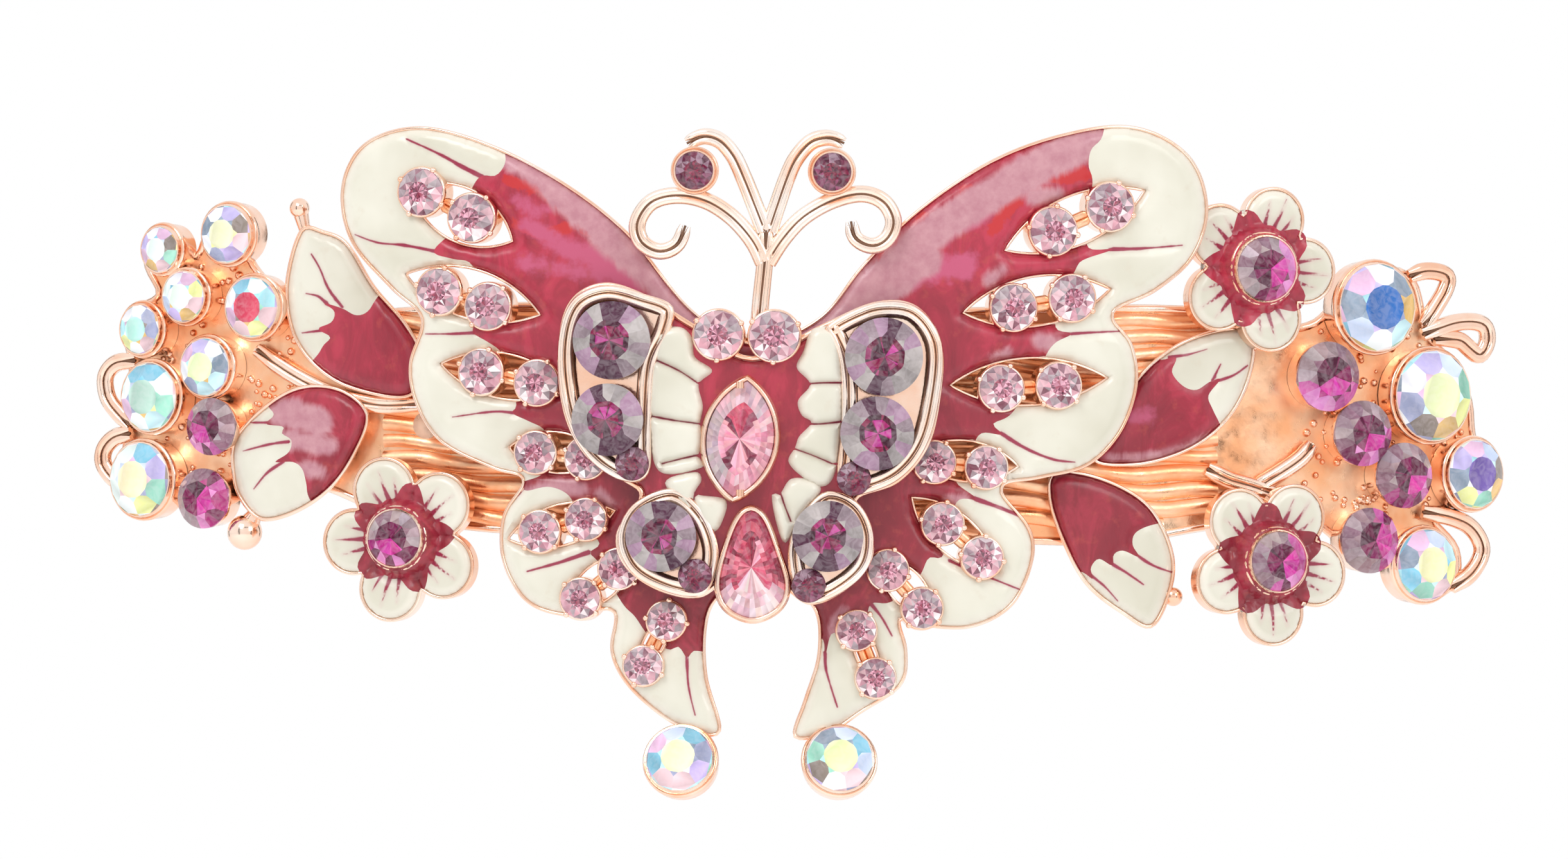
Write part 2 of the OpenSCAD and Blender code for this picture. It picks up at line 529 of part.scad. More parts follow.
// ---- steel clip ----
module clip_bar() {
    back_r = arch_r - bar_t;
    color(steel) difference() {
        union() {
            layer(back_r, arch_r) {
                square([bar_len - bar_w / 2, bar_w], center = true);
                for (s = [-1, 1]) translate([s * (bar_len / 2 - bar_w / 4), 0]) square([bar_w / 2, bar_w - 2], center = true);
            }
            // hinge lugs
            for (z = [lug_in, -lug_in - lug_t]) translate([0, 0, z]) linear_extrude(lug_t) {
                translate(hinge_at) circle(1.6);
                polygon([[35.2, 1.8], [38.8, 3.6], [38.6, 6.5], [35.4, 6.5]]);
            }
            // straps over the ends of the bow spring
            for (s = [-1, 1]) difference() {
                translate([s * 28.6 - 0.8, -1, -3.4]) cube([1.6, 1.9, 6.8]);
                translate([s * 28.6 - 1, -1.5, -spring_w / 2 - 0.1]) cube([2, 1.75, spring_w + 0.2]);
            }
        }
        translate([hinge_at[0], hinge_at[1], -10]) cylinder(r = pin_r, h = 20);
        for (x = rivet_x) stand(x, 0, back_r - 1, 0, arch_r) cylinder(r = 0.9, h = 3);
    }
}
module bar_rivets() {
    color(steel) for (x = rivet_x) {
        stand(x, 0, arch_r - bar_t, 0, arch_r) cylinder(r = 0.89, h = bar_t - contact);
        stand(x, 0, arch_r - bar_t - 0.5, 0, arch_r) cylinder(r1 = 1.1, r2 = 1.5, h = 0.45);
    }
}
module bow_spring() {
    color(steel) intersection() {
        translate([0, spring_y, -spring_w / 2]) difference() {
            cylinder(r = spring_r + spring_t, h = spring_w, $fn = 720);
            translate([0, 0, -1]) cylinder(r = spring_r, h = spring_w + 2, $fn = 720);
        }
        translate([-spring_half, -20, -10]) cube([2 * spring_half, 40, 20]);
    }
}
module hinge_pin() {
    color(steel) {
        translate([hinge_at[0], hinge_at[1], -4.1]) cylinder(r = pin_r, h = 8.2);
        for (z = [-4.6, 4.1]) translate([hinge_at[0], hinge_at[1], z]) cylinder(r = 1.2, h = 0.5);
    }
}
module latch_arm() {
    color(steel) difference() {
        union() {
            intersection() {
                translate([0, arm_y, -head_w]) difference() {
                    cylinder(r = arm_r + arm_t / 2, h = 2 * head_w, $fn = 720);
                    translate([0, 0, -1]) cylinder(r = arm_r - arm_t / 2, h = 2 * head_w + 2, $fn = 720);
                }
                union() {
                    translate([-33, -20, -arm_w / 2]) cube([69.4, 60, arm_w]);
                    translate([-38.8, -20, -head_w / 2]) cube([6, 60, head_w]);
                }
            }
            translate([hinge_at[0], hinge_at[1], 0.1 - lug_in]) cylinder(r = 1.5, h = 2 * lug_in - 0.2);
        }
        translate([hinge_at[0], hinge_at[1], -10]) cylinder(r = pin_r + pin_play, h = 20);
        translate([window_x - window[0] / 2, -5, -window[1] / 2]) cube([window[0], 30, window[1]]);
        // slot that lightens the arm
        translate([0, -5, 0]) rotate([-90, 0, 0]) linear_extrude(30) square([44, 1.6], center = true);
    }
}
module catch_bracket() {
    x0 = bracket_x[0];
    w = bracket_x[1] - x0;
    color(steel) difference() {
        union() {
            intersection() {
                translate([x0, -5, -3.2]) cube([w, bracket_y + 5, 6.4]);
                translate([0, arch_y, -10]) cylinder(r = arch_r - bar_t - contact, h = 20, $fn = 360);
            }
            for (x = [x0, bracket_x[1] - 1]) translate([x, bracket_y - 0.2, -2.5]) cube([1, 1.5, 5]);
        }
        for (s = [-1, 1]) translate([x0 - 1, ear_at[0], s * ear_at[1]]) rotate([0, 90, 0]) cylinder(r = 0.45, h = w + 2);
    }
}
module catch_spring() {
    color(steel) translate([window_x - 0.7, bracket_y + contact, 0]) {
        translate([0, 0, -0.4]) cube([1.4, 0.15, 0.8]);
        for (z = [-0.4, 0.25]) translate([0, 0, z]) cube([1.4, 2.6, 0.15]);
    }
}
module catch_ear() {
    color(steel) translate([window_x - ear_w / 2, 0, 0]) {
        translate([0, ear_at[0], ear_at[1]]) rotate([0, 90, 0]) cylinder(r = 0.7, h = ear_w);
        translate([-1.5, ear_at[0], ear_at[1]]) rotate([0, 90, 0]) cylinder(r = 0.4, h = ear_w + 3);
        // split prong with its snap nose
        translate([0, ear_at[0] - 0.2, 0]) rotate([90, 0, 90]) linear_extrude(ear_w)
            polygon([[0, 0.5], [4.2, 0.5], [4.2, 0.9], [3.2, 1.75], [2.2, 1.75], [1.9, 1.2], [0, 1.8]]);
        // finger tab out at the side
        translate([0, ear_at[0] - 0.3, ear_at[1] + 0.2]) cube([ear_w, 0.6, 3.8]);
        translate([-1.1, ear_at[0] - 0.3, ear_at[1] + 3.8]) cube([ear_w + 2.2, 4.4, 0.6]);
    }
}

base_frame();
wing_posts();
wing_casting();
stone_links();
wing_cups(LEFT_PAIRS);  // left_wing_bezels
wing_cups(RIGHT_PAIRS);  // right_wing_bezels
wing_stones(LEFT_PAIRS);  // left_wing_pink_stones
wing_stones(RIGHT_PAIRS);  // right_wing_pink_stones
color(cream) wing_enamel(LEFT_PAIRS, -1, LEFT_EDGE, false);  // left_wing_cream_enamel
color(crimson) wing_enamel(LEFT_PAIRS, -1, LEFT_EDGE, true);  // left_wing_crimson_enamel
color(cream) wing_enamel(RIGHT_PAIRS, 1, RIGHT_EDGE, false);  // right_wing_cream_enamel
color(crimson) wing_enamel(RIGHT_PAIRS, 1, RIGHT_EDGE, true);  // right_wing_crimson_enamel
tail_cups();
tail_crystals();
butterfly_posts();
small_butterfly_casting();
wing_loops();
small_butterfly_cream_enamel();
small_butterfly_crimson_enamel();
large_amethysts();
small_amethysts();
head_cups();
head_stones();
marquise_setting();
marquise_stone();
tail_setting();
tail_stone();
antennae();
antenna_cups();
antenna_stones();
leaf(LEAVES[0]);  // upper_left_leaf
leaf(LEAVES[1]);  // lower_left_leaf
leaf(LEAVES[2]);  // upper_right_leaf
leaf(LEAVES[3]);  // lower_right_leaf
color(cream) leaf_enamel(false);  // leaf_cream_enamel
color(crimson) leaf_enamel(true);  // leaf_crimson_enamel
flower(FLOWERS[0]);  // left_flower
flower(FLOWERS[1]);  // upper_right_flower
flower(FLOWERS[2]);  // lower_right_flower
color(cream) flower_enamel(false);  // flower_cream_enamel
color(crimson) flower_enamel(true);  // flower_crimson_enamel
flower_cups();
flower_amethysts();
cluster_cups(concat(LEFT_CRYSTALS, LEFT_AMETHYSTS));  // left_cluster_cups
cluster_cups(concat(RIGHT_CRYSTALS, RIGHT_AMETHYSTS));  // right_cluster_cups
color(crystal) cluster_stones(LEFT_CRYSTALS);  // left_cluster_crystals
color(crystal) cluster_stones(RIGHT_CRYSTALS);  // right_cluster_crystals
color(amethyst) cluster_stones(LEFT_AMETHYSTS);  // left_cluster_amethysts
color(amethyst) cluster_stones(RIGHT_AMETHYSTS);  // right_cluster_amethysts
twigs(LEFT_TWIGS);  // left_twigs
twigs(RIGHT_TWIGS);  // right_twigs
clip_bar();
bar_rivets();
bow_spring();
hinge_pin();
latch_arm();
catch_bracket();
catch_spring();
catch_ear();  // catch_ear_upper
mirror([0, 0, 1]) catch_ear();  // catch_ear_lower
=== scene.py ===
"""Rhinestone butterfly barrette: cast rose-gold butterfly, enamel, cut stones and a steel spring clip."""

import math
import random

import bpy
import numpy as np
from mathutils import Matrix, Vector
from mathutils.geometry import delaunay_2d_cdt


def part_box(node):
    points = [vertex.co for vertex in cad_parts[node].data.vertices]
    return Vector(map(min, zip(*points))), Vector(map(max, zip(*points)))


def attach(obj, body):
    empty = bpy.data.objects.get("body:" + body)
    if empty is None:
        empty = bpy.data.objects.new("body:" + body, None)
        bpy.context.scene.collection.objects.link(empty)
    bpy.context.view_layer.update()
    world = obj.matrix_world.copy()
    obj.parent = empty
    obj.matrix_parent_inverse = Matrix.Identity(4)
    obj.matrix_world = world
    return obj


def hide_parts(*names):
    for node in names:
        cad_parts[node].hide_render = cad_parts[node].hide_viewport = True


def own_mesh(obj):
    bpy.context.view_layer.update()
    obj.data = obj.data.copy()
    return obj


bl_info = {
    "name": "Butterfly Barrette Maker",
    "version": (1, 0, 0),
    "blender": (4, 5, 0),
    "location": "3D View > Sidebar > Barrette",
    "description": "Makes the enamel, cut stones, wirework and clip finishes of a butterfly barrette",
    "category": "Object",
}

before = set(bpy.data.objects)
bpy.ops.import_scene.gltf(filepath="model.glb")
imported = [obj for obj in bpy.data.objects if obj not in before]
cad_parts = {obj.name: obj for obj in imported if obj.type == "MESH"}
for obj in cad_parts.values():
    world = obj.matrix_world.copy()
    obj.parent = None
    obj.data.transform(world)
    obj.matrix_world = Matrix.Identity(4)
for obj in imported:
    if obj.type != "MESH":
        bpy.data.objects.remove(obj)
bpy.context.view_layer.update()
MM = 0.001

# The arch: its axis runs along Z, and every layer is a radius from that axis, in millimetres
ARCH_Y = 73.0
BASE_BACK = ARCH_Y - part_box("base_frame")[0][1] / MM - 1.4
BASE_FACE = BASE_BACK + 1.4
WING_FACE = ARCH_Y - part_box("wing_casting")[0][1] / MM
WING_BACK = WING_FACE - 1.2
SMALL_FACE = ARCH_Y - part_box("small_butterfly_casting")[0][1] / MM
SMALL_BACK = SMALL_FACE - 0.8
FLOWER_BACK = BASE_FACE + 1.5
FLOWER_FACE = FLOWER_BACK + 0.9

# ---- outlines, in millimetres across (X) and up (Z) ----
WINGS = [(-4, 4), (-8.5, 6.5), (-13, 12), (-18, 15.9), (-23.5, 18.7), (-28.5, 19.9), (-32.5, 18.7),
    (-34.2, 15.5), (-33.5, 11.5), (-30.5, 8), (-28.3, 5.8), (-29.2, 2.5), (-28.7, -0.5), (-26.8, -3.3),
    (-23, -5.2), (-20.8, -6), (-22.3, -8.6), (-22.3, -12), (-20.5, -15), (-17.3, -16), (-14.2, -15.6),
    (-14.4, -18.5), (-13.2, -21), (-10.5, -23.4), (-8, -24.6), (-6.3, -24.3), (-7.3, -20.5),
    (-7.4, -17), (-6.6, -14.7), (-4, -13.4), (0.2, -15), (0.8, -18.5), (-0.2, -22), (-1, -24.8),
    (1.5, -24.6), (4, -23), (6.9, -21), (7.3, -18.5), (6.8, -16.2), (8.5, -16.7), (12, -16.8),
    (15, -15.2), (16.5, -12), (16.3, -9.5), (14.2, -6.6), (17, -5.9), (20.5, -5), (23, -2.5), (24.2, 1),
    (23.8, 4), (22.4, 6.2), (25.5, 7.8), (28.3, 10.3), (29.4, 14), (28, 17.8), (24, 19.9), (19, 19.4),
    (13.5, 17.4), (8, 13.7), (4, 9.7), (0.8, 5.8)]
# Edge between the crimson middle and the cream lobes of each wing, from the top down
LEFT_EDGE = [(-22.6, 21), (-22.3, 18.6), (-22.1, 17.3), (-22.8, 16.3), (-24, 16.2), (-25, 14.5), (-26, 12.3),
    (-27.4, 10.75), (-26, 10.2), (-24.6, 9.8), (-24, 7.5), (-24.3, 5.6), (-24.5, 4.8), (-23.4, 4.1),
    (-22.4, 3.3), (-21.8, 1.5), (-21.3, -0.5), (-21.6, -1.1), (-20.4, -1.7), (-19.2, -2.4), (-18.6, -4.2),
    (-19.4, -5.6), (-20.9, -6.2), (-20.6, -6.8), (-18.9, -6.5), (-17.4, -7.2), (-16.6, -9), (-15.2, -10.6),
    (-15.9, -11.3), (-15.3, -12), (-14.4, -13.6), (-13.4, -15.2), (-12.6, -16), (-11.6, -17.4),
    (-10.2, -18.4), (-9.4, -18.2), (-8.8, -19), (-8.3, -18.5), (-7.3, -18.6), (-5, -18.6)]
RIGHT_EDGE = [(21.9, 21), (21.6, 19.1), (20.8, 18.2), (20.6, 17), (20.9, 15.8), (20.5, 13), (20.6, 11),
    (22.4, 10.9), (20.2, 10.1), (19.6, 9.3), (18.5, 7), (18.2, 5.1), (19.4, 4.7), (17.9, 3.8), (16.5, 1.2),
    (14.9, -1.2), (13.6, -1.9), (14.3, -2.7), (12.7, -2.6), (12, -4), (11.6, -5.6), (10.9, -6.2),
    (12.4, -7.4), (11, -7.5), (10.4, -9.6), (9.9, -11.6), (8.9, -11.7), (8.3, -12.9), (7.3, -14.2),
    (5.9, -15), (4.6, -15.1), (4.2, -17), (3, -17.6), (1.8, -17.2), (1.3, -18.8), (0.8, -17.4), (-3, -18.6)]
# Two stones and the pierced opening they bridge: first, second, middle, half length, half width
LEFT_PAIRS = [((-28.3, 15.1), (-24.6, 13.2), (-25.3, 13.4), 4.2, 2.5),
    ((-27, 7.8), (-23.4, 6.7), (-24.5, 7.6), 5.2, 2.3), ((-23.9, 1.9), (-19.8, 1.1), (-22.2, 1.6), 4.8, 2.1),
    ((-19.9, -4), (-16.2, -4.4), (-18.3, -4), 3.6, 1.9), ((-19.6, -9.8), (-16.2, -8.9), (-18, -9.3), 4.1, 1.9),
    ((-16.6, -14.7), (-13.8, -12.5), (-15.2, -13.5), 2.9, 1.7),
    ((-12, -19.6), (-10.3, -16.3), (-11.2, -17.9), 2.2, 1)]
RIGHT_PAIRS = [((18, 12.2), (22.2, 14), (19.6, 13), 5.6, 2.3), ((15.1, 6.6), (19.4, 7.3), (16.8, 7.1), 5.5, 2.3),
    ((14.2, 0.7), (18.4, 0.9), (16.2, 1.2), 5.8, 2.2), ((9.3, -4.7), (13.1, -5.1), (11.5, -4.6), 4, 1.9),
    ((9.9, -9.2), (12.8, -11.7), (10.8, -10), 4.2, 1.9), ((5.9, -12.6), (8.4, -15.4), (7.3, -13.9), 2.9, 1.6),
    ((3.6, -17), (5, -20.5), (4.3, -18.7), 2.2, 1)]
# Stone radius of each pair, from the top pair down
PINK_SIZES = (1.78, 1.72, 1.68, 1.56, 1.54, 1.5, 1.46)

# Small butterfly: plate, the four raised wire loops and the cream bands with their cell lines
SMALL = [(-4, 3), (-8, 5.2), (-12, 7.6), (-15, 8.4), (-17.4, 7), (-18.2, 3.5), (-17.8, -1), (-16.2, -4.2),
    (-13.5, -6), (-12.2, -7.2), (-13.9, -9.8), (-13.4, -12.2), (-11, -14), (-8, -14.6), (-6, -13.4),
    (-4, -12.8), (-2, -13.6), (0.2, -15.1), (2.8, -14), (4.7, -11.8), (4.6, -9.2), (3.6, -7.4), (6.6, -6.2),
    (8.8, -3.6), (9.7, 0), (9.8, 4), (8, 6.7), (5, 7), (1, 5.3)]
LOOPS = [[(-9.9, 6.6), (-12, 7.5), (-14.8, 8.1), (-17.2, 6.9), (-18.1, 3.5), (-17.6, -1), (-16, -4.2),
        (-13.6, -5.9), (-11.7, -5.6), (-11.5, -2), (-11.2, 2.4), (-10.2, 4.6)],
    [(1.4, 5.1), (3.2, 6.2), (5.4, 6.9), (8, 6.5), (9.7, 4), (9.5, 0), (8.5, -3.6), (6.4, -6), (3.2, -7),
        (2.3, -5.6), (2.6, -2), (2.5, 2.4), (1.8, 4.4)],
    [(-9.8, -6.7), (-12.6, -7.8), (-13.7, -10.2), (-12.8, -12.6), (-10.4, -14), (-8, -14.4), (-7, -13.4),
        (-6.6, -11), (-7.6, -8.4)],
    [(1.5, -6.9), (3.6, -7.7), (4.7, -9.9), (4.3, -12.4), (2.3, -14.2), (0.3, -14.9), (-0.9, -13.8),
        (-1.3, -11), (-0.2, -8.4)]]
CREAM_BANDS = [[(-11, 4.6), (-9.4, 5.2), (-8.4, 4.4), (-8.2, 3), (-6.9, 2), (-7.9, 1), (-7.6, -0.6), (-7.8, -1.8),
        (-7.6, -3), (-7.9, -4.2), (-7.7, -5.1), (-10.8, -5.4), (-11.6, -2), (-11.6, 1)],
    [(2.1, 4.9), (0.4, 5), (-0.3, 3.4), (-0.8, 2.2), (0.2, 1), (-0.7, -0.2), (-0.4, -1.3), (0.3, -1.8),
        (-0.6, -2.8), (-0.9, -3.6), (-1.4, -4.6), (-0.6, -5.6), (0.9, -6.5), (2, -5.6), (2.5, -2), (2.6, 2)],
    [(-10.4, -6.2), (-8.2, -5.4), (-7.7, -6), (-8.1, -7), (-6, -7.4), (-6.1, -8.8), (-6.9, -9.8), (-8.4, -8.6)],
    [(1, -6.8), (0.3, -6), (-1.2, -5.9), (-2, -7), (-2.6, -7), (-2.3, -9), (-1.6, -10.6), (-0.4, -8.6)]]
BAND_LINES = [[(-11.6, 3), (-9.4, 2), (-7.9, 1)], [(-12, -1.2), (-10, -1.6), (-7.8, -1.9)],
    [(-10.6, -4.8), (-9, -4.4), (-7.6, -4.1)], [(-8.2, -6.9), (-8.3, -8), (-7.9, -9.2)],
    [(-0.2, 1), (1.2, 1.1), (2.8, 1.1)], [(-0.2, -1.9), (1, -1.9), (2.8, -1.7)],
    [(-1, -3.7), (0.4, -4.2), (1.8, -4.8)], [(-2, -6.8), (-1.6, -8), (-1.2, -9)]]
LARGE_AMETHYSTS = [(-14.3, 4.2, 2.75), (-14.6, -1.6, 2.55), (5.6, 3, 2.75), (5.1, -2.6, 2.6),
    (-10.7, -10.1, 2.5), (1.5, -10.1, 2.5)]
SMALL_AMETHYSTS = [(-12.8, -4.8, 1.1), (3.4, -5.9, 1.1), (-8.2, -13, 1.1), (0.1, -13.7, 1.1)]
HEAD = [(-6.5, 4.6, 1.75), (-2.4, 4.5, 1.8)]
MARQUISE_AT = (-4.9, -3)
MARQUISE = (4.3, 2.5)
TAIL = [(-4.1, -8.2), (-5, -8.9), (-5.9, -11.2), (-6.4, -13.7), (-5.8, -15.3), (-4, -16.1),
    (-2.2, -15.3), (-1.6, -13.7), (-2.3, -11.2), (-3.2, -8.9)]

# Antennae
STEM = [(-3.6, 4.6), (-3.4, 7), (-3.1, 10), (-3, 12.3)]
CURLS = [[(-3.2, 9.9), (-4, 11.5), (-5.5, 13.2), (-7.4, 14.4), (-9.5, 14.8), (-11.4, 14.3), (-12.4, 12.8),
        (-12.1, 11.4), (-10.8, 10.7), (-9.5, 11.2), (-8.9, 12.6)],
    [(-2.9, 9.9), (-1.8, 11.6), (-0.3, 13.2), (1.8, 14.4), (4, 14.9), (5.6, 14.3), (6.3, 12.9),
        (5.8, 11.6), (4.7, 11.1), (3.5, 11.7), (3.2, 12.9)],
    [(-3.1, 12.2), (-3.8, 14), (-4.6, 16), (-5.4, 17.7), (-6.4, 18.8), (-7.6, 19.1), (-8.8, 18.6)],
    [(-2.8, 12.2), (-2.2, 14), (-1.5, 16), (-0.8, 17.5), (0.3, 18.7), (1.6, 19), (2.7, 18.6)]]
ANTENNA_STONES = [(-8.2, 16.6, 1.55), (1.8, 16.5, 1.55)]

# Leaves: outline, scalloped edge of the cream tip, veins, the bead at the tip and the foot of its neck
LEAVES = {
    "upper_left_leaf": ([(-37.3, 12.4), (-38.4, 8.5), (-38, 5), (-36.3, 2.4), (-33.5, 0.7), (-29.2, 0.1), (-28.3, 3),
            (-29.5, 5.5), (-31.8, 8.2), (-33.8, 11.4), (-35.6, 12.3)],
        [(-38.5, 1), (-36.3, 2.9), (-35.6, 3.9), (-35.1, 4.5), (-36, 5.1), (-35, 5.6), (-34.8, 6.4), (-35.6, 7),
            (-34.2, 6.6), (-33.2, 6.1), (-32.3, 6.4), (-31.4, 7.7), (-28, 12)],
        [[(-35.6, 5), (-37.2, 4.8)], [(-35.3, 6.9), (-36, 7.5), (-36.9, 7.7)],
            [(-34.2, 6.7), (-35.2, 8), (-35.9, 9.6), (-36.5, 10.6)]], (-37.4, 14, 0.75),
        (-36.9, 11.9)),
    "lower_left_leaf": ([(-32.3, -1.2), (-34.2, 0.6), (-37, 0.9), (-39.6, -0.3), (-42.2, -2.9), (-42.4, -5.6),
            (-41.8, -7.5), (-40.2, -9), (-37.6, -8.4), (-35, -6.6), (-33.2, -4)],
        [(-41, 1.6), (-40, -0.3), (-39.3, -1.2), (-39.9, -1.9), (-38.6, -2.1), (-38.7, -2.6), (-38, -3.1),
            (-38.2, -4), (-39.2, -4.7), (-37.9, -4.7), (-37.2, -5.2), (-36.9, -6.2), (-36.6, -7.5), (-35, -9)],
        [[(-39.5, -1.8), (-41.2, -1.8)], [(-38.2, -3.2), (-39.6, -3.4), (-41.6, -3.9)],
            [(-38.6, -4.7), (-39.8, -5.5), (-40.8, -6.7)]], (-41.5, -9.9, 1.3),
        (-40.5, -8.1)),
    "upper_right_leaf": ([(21, -4.6), (22.6, -2), (24.2, 1.4), (27.1, 3.9), (30.6, 5.1), (32.8, 4.7), (32.6, 1.6),
            (31.1, -1.4), (28.3, -3.7), (24.5, -4.9)],
        [(24.6, 5), (25.6, 2.9), (27.1, 3), (26.8, 1.9), (27.6, 0.9), (28.6, 0.6), (29.6, 1.2), (30.4, 1.4),
            (29.5, 0.2), (29.8, -0.8), (30.4, -2), (31, -3.4)],
        [[(26.6, 3), (28, 3.2), (29.4, 3.6)], [(29.8, 1.3), (30.4, 2.5)], [(30.3, 1.3), (31.4, 1.7), (32.4, 2.4)]],
        (33.3, 5.5, 0.5), (32.3, 4.3)),
    "lower_right_leaf": ([(18.2, -5.4), (21.4, -5.8), (24.8, -7.6), (26.6, -10.5), (26.9, -13.4), (25.4, -16.8),
            (23.1, -15.8), (20.4, -13.6), (18.6, -10.2), (17.7, -7.2)],
        [(27.6, -9), (25.4, -9.3), (24.1, -9.9), (23.9, -10.8), (24.4, -11.7), (23.2, -11.2), (22.5, -11.5),
            (22.4, -12.3), (21.4, -11.8), (20.8, -12.5), (21, -13.3), (20, -12.7), (18, -12.4)],
        [[(24.3, -11.6), (25.4, -12.3), (26.8, -12.8)], [(22.4, -12.2), (23.4, -12.8), (24.7, -13.7)],
            [(20.8, -13), (21.8, -13.8), (22.8, -14.9)]], (26.9, -14.6, 0.7), (25.7, -14.2)),
}
# Flowers: x, z, stone radius and the angle of the first petal
FLOWERS = {"left_flower": (-30, -10.3, 2.2, 40), "upper_right_flower": (33.4, 9.5, 2.5, 70),
    "lower_right_flower": (34.3, -12, 2.35, 58)}

# End clusters: x, z, radius and, for the iridescent stones, the colour that shows through the table, a painted glint of
# light
LEFT_CRYSTALS = [(-47.8, 11, 1.75, "ice"), (-42.8, 12.1, 2.2, "lemon"), (-49.3, 5.1, 1.9, "aqua"),
    (-46, 7.5, 1.95, "ice"), (-40.9, 6.7, 2.3, "cherry"), (-48.6, 0.1, 2.6, "mint"),
    (-44.4, 2.3, 2.2, "lemon"), (-49.3, -6, 2.8, "lemon")]
LEFT_AMETHYSTS = [(-44, -2.1, 2), (-44.6, -7.4, 2.1)]
RIGHT_CRYSTALS = [(42, 6.7, 3.3, "sapphire"), (46.2, 0.2, 3.4, "lemon"), (49.4, -5.6, 2.6, "violet"),
    (45.7, -12.3, 2.7, "lemon")]
RIGHT_AMETHYSTS = [(38.4, 1.6, 2.45), (41, -2.6, 2.3), (44.1, -5.7, 2.3), (41.5, -10.5, 2.3)]
TAIL_CUPS = [(-9, -27, 12), (2.2, -27, -12)]
BASE = [(-39.2, 8), (-37.5, 5.4), (-30, 6.4), (-20, 6.8), (-11, 6.2), (-6.5, 4.6), (0, 4.6), (5, 6), (20, 6.6), (30, 6.4), (36.5, 5.2),
    (39.4, 7.6), (41.8, 9.4), (44.6, 9), (45.6, 5.6), (45.9, 4.5), (47.6, 2.8), (49, 0), (49.4, -3.2), (51.2, -5),
    (50.6, -7.2), (48, -7.9), (46.2, -8.8), (48, -11), (48, -13.6), (46, -14.6), (43, -12.6),
    (40.4, -12.2), (38.6, -10), (36, -8.8), (30, -9.4), (20, -10.6), (0, -9.6), (-20, -9.8), (-30, -8.6),
    (-36, -6.4), (-41, -6), (-42.8, -7.6), (-44.4, -9), (-46.4, -7.8), (-48.6, -8), (-50.9, -6.8),
    (-50.6, -4.2), (-50.3, -2.8), (-50.3, -1.6), (-50.2, -0.4), (-50, 1.8), (-50, 2.8), (-50.4, 4.4), (-49.8, 6.6),
    (-47.8, 7.6), (-48.8, 9.6), (-48.8, 11.4), (-47, 12.4), (-45.2, 10.2), (-43.8, 13.4), (-41.6, 13.2),
    (-41.2, 10.6), (-40.2, 9)]
TWIGS = {"left_twigs": [[(-40.6, 3.6), (-38, 1.8), (-35, 0.3), (-31.5, -0.5), (-28, -0.4)],
        [(-49.7, 2.8), (-51.2, 2.6), (-52, 1.6), (-51.8, 0), (-50.9, -1.2), (-50.1, -2)],
        [(-50.1, -2.6), (-51.3, -2.9), (-52.1, -3.8), (-52.1, -5), (-51, -6.4)]],
    "right_twigs": [[(44.5, 9), (45.6, 9.4), (46.8, 9.3), (47.4, 8.9), (47.2, 8), (46.5, 6.8), (45.6, 5.4)],
        [(45.5, 4.7), (48, 5.6), (50, 5.5), (50.4, 4.3), (49.8, 3.2), (49, 3.7), (48.2, 4.3), (46.4, 4.4)],
        [(45.5, -8.4), (47.6, -8.8), (49.2, -9.6), (50, -11.2), (49.2, -12.9), (47.7, -14)],
        [(37.2, -3.4), (36.4, -4.4), (35, -5.4), (33, -6.6)], [(29.4, -5.2), (31, -6), (33, -6.6), (35.4, -7.6)]]}

# Brush strokes in the enamel: (points, half width at the start, half width at the end)
VEINS = [([(-23.8, 16.2), (-25.2, 16.9), (-27, 17.9), (-29.4, 19)], 0.2, 0.06),
    ([(-27, 10.7), (-29.5, 11.2), (-31.5, 11.4), (-33.2, 12)], 0.14, 0.04),
    ([(-24.2, 4.8), (-26, 4.7), (-28, 4.7)], 0.14, 0.04), ([(-21.4, -1.1), (-23, -1), (-26, -1.4)], 0.13, 0.04),
    ([(-16, -11.3), (-18, -12), (-20.5, -12.7)], 0.2, 0.05), ([(-8.8, -18.8), (-8.7, -21), (-8.2, -23.2)], 0.12, 0.05),
    ([(-20.7, -6.5), (-21.4, -7.4)], 0.1, 0.04),
    ([(22.2, 10.9), (24.5, 10.95), (27.5, 11.2)], 0.16, 0.04), ([(19.3, 4.7), (21, 4.8), (23.2, 4.9)], 0.12, 0.04),
    ([(14.2, -2.6), (16, -3.7), (18, -4.5), (19.6, -4.7)], 0.16, 0.04),
    ([(12.2, -7.35), (14, -8), (16, -8.9), (16.6, -10)], 0.18, 0.06),
    ([(10.4, -11.9), (12.5, -12.8), (15.5, -14)], 0.16, 0.04), ([(4.6, -15), (5.4, -16), (6.2, -17.4)], 0.14, 0.05),
    ([(1.3, -18.6), (1.4, -20), (2.2, -22.6)], 0.14, 0.05)]
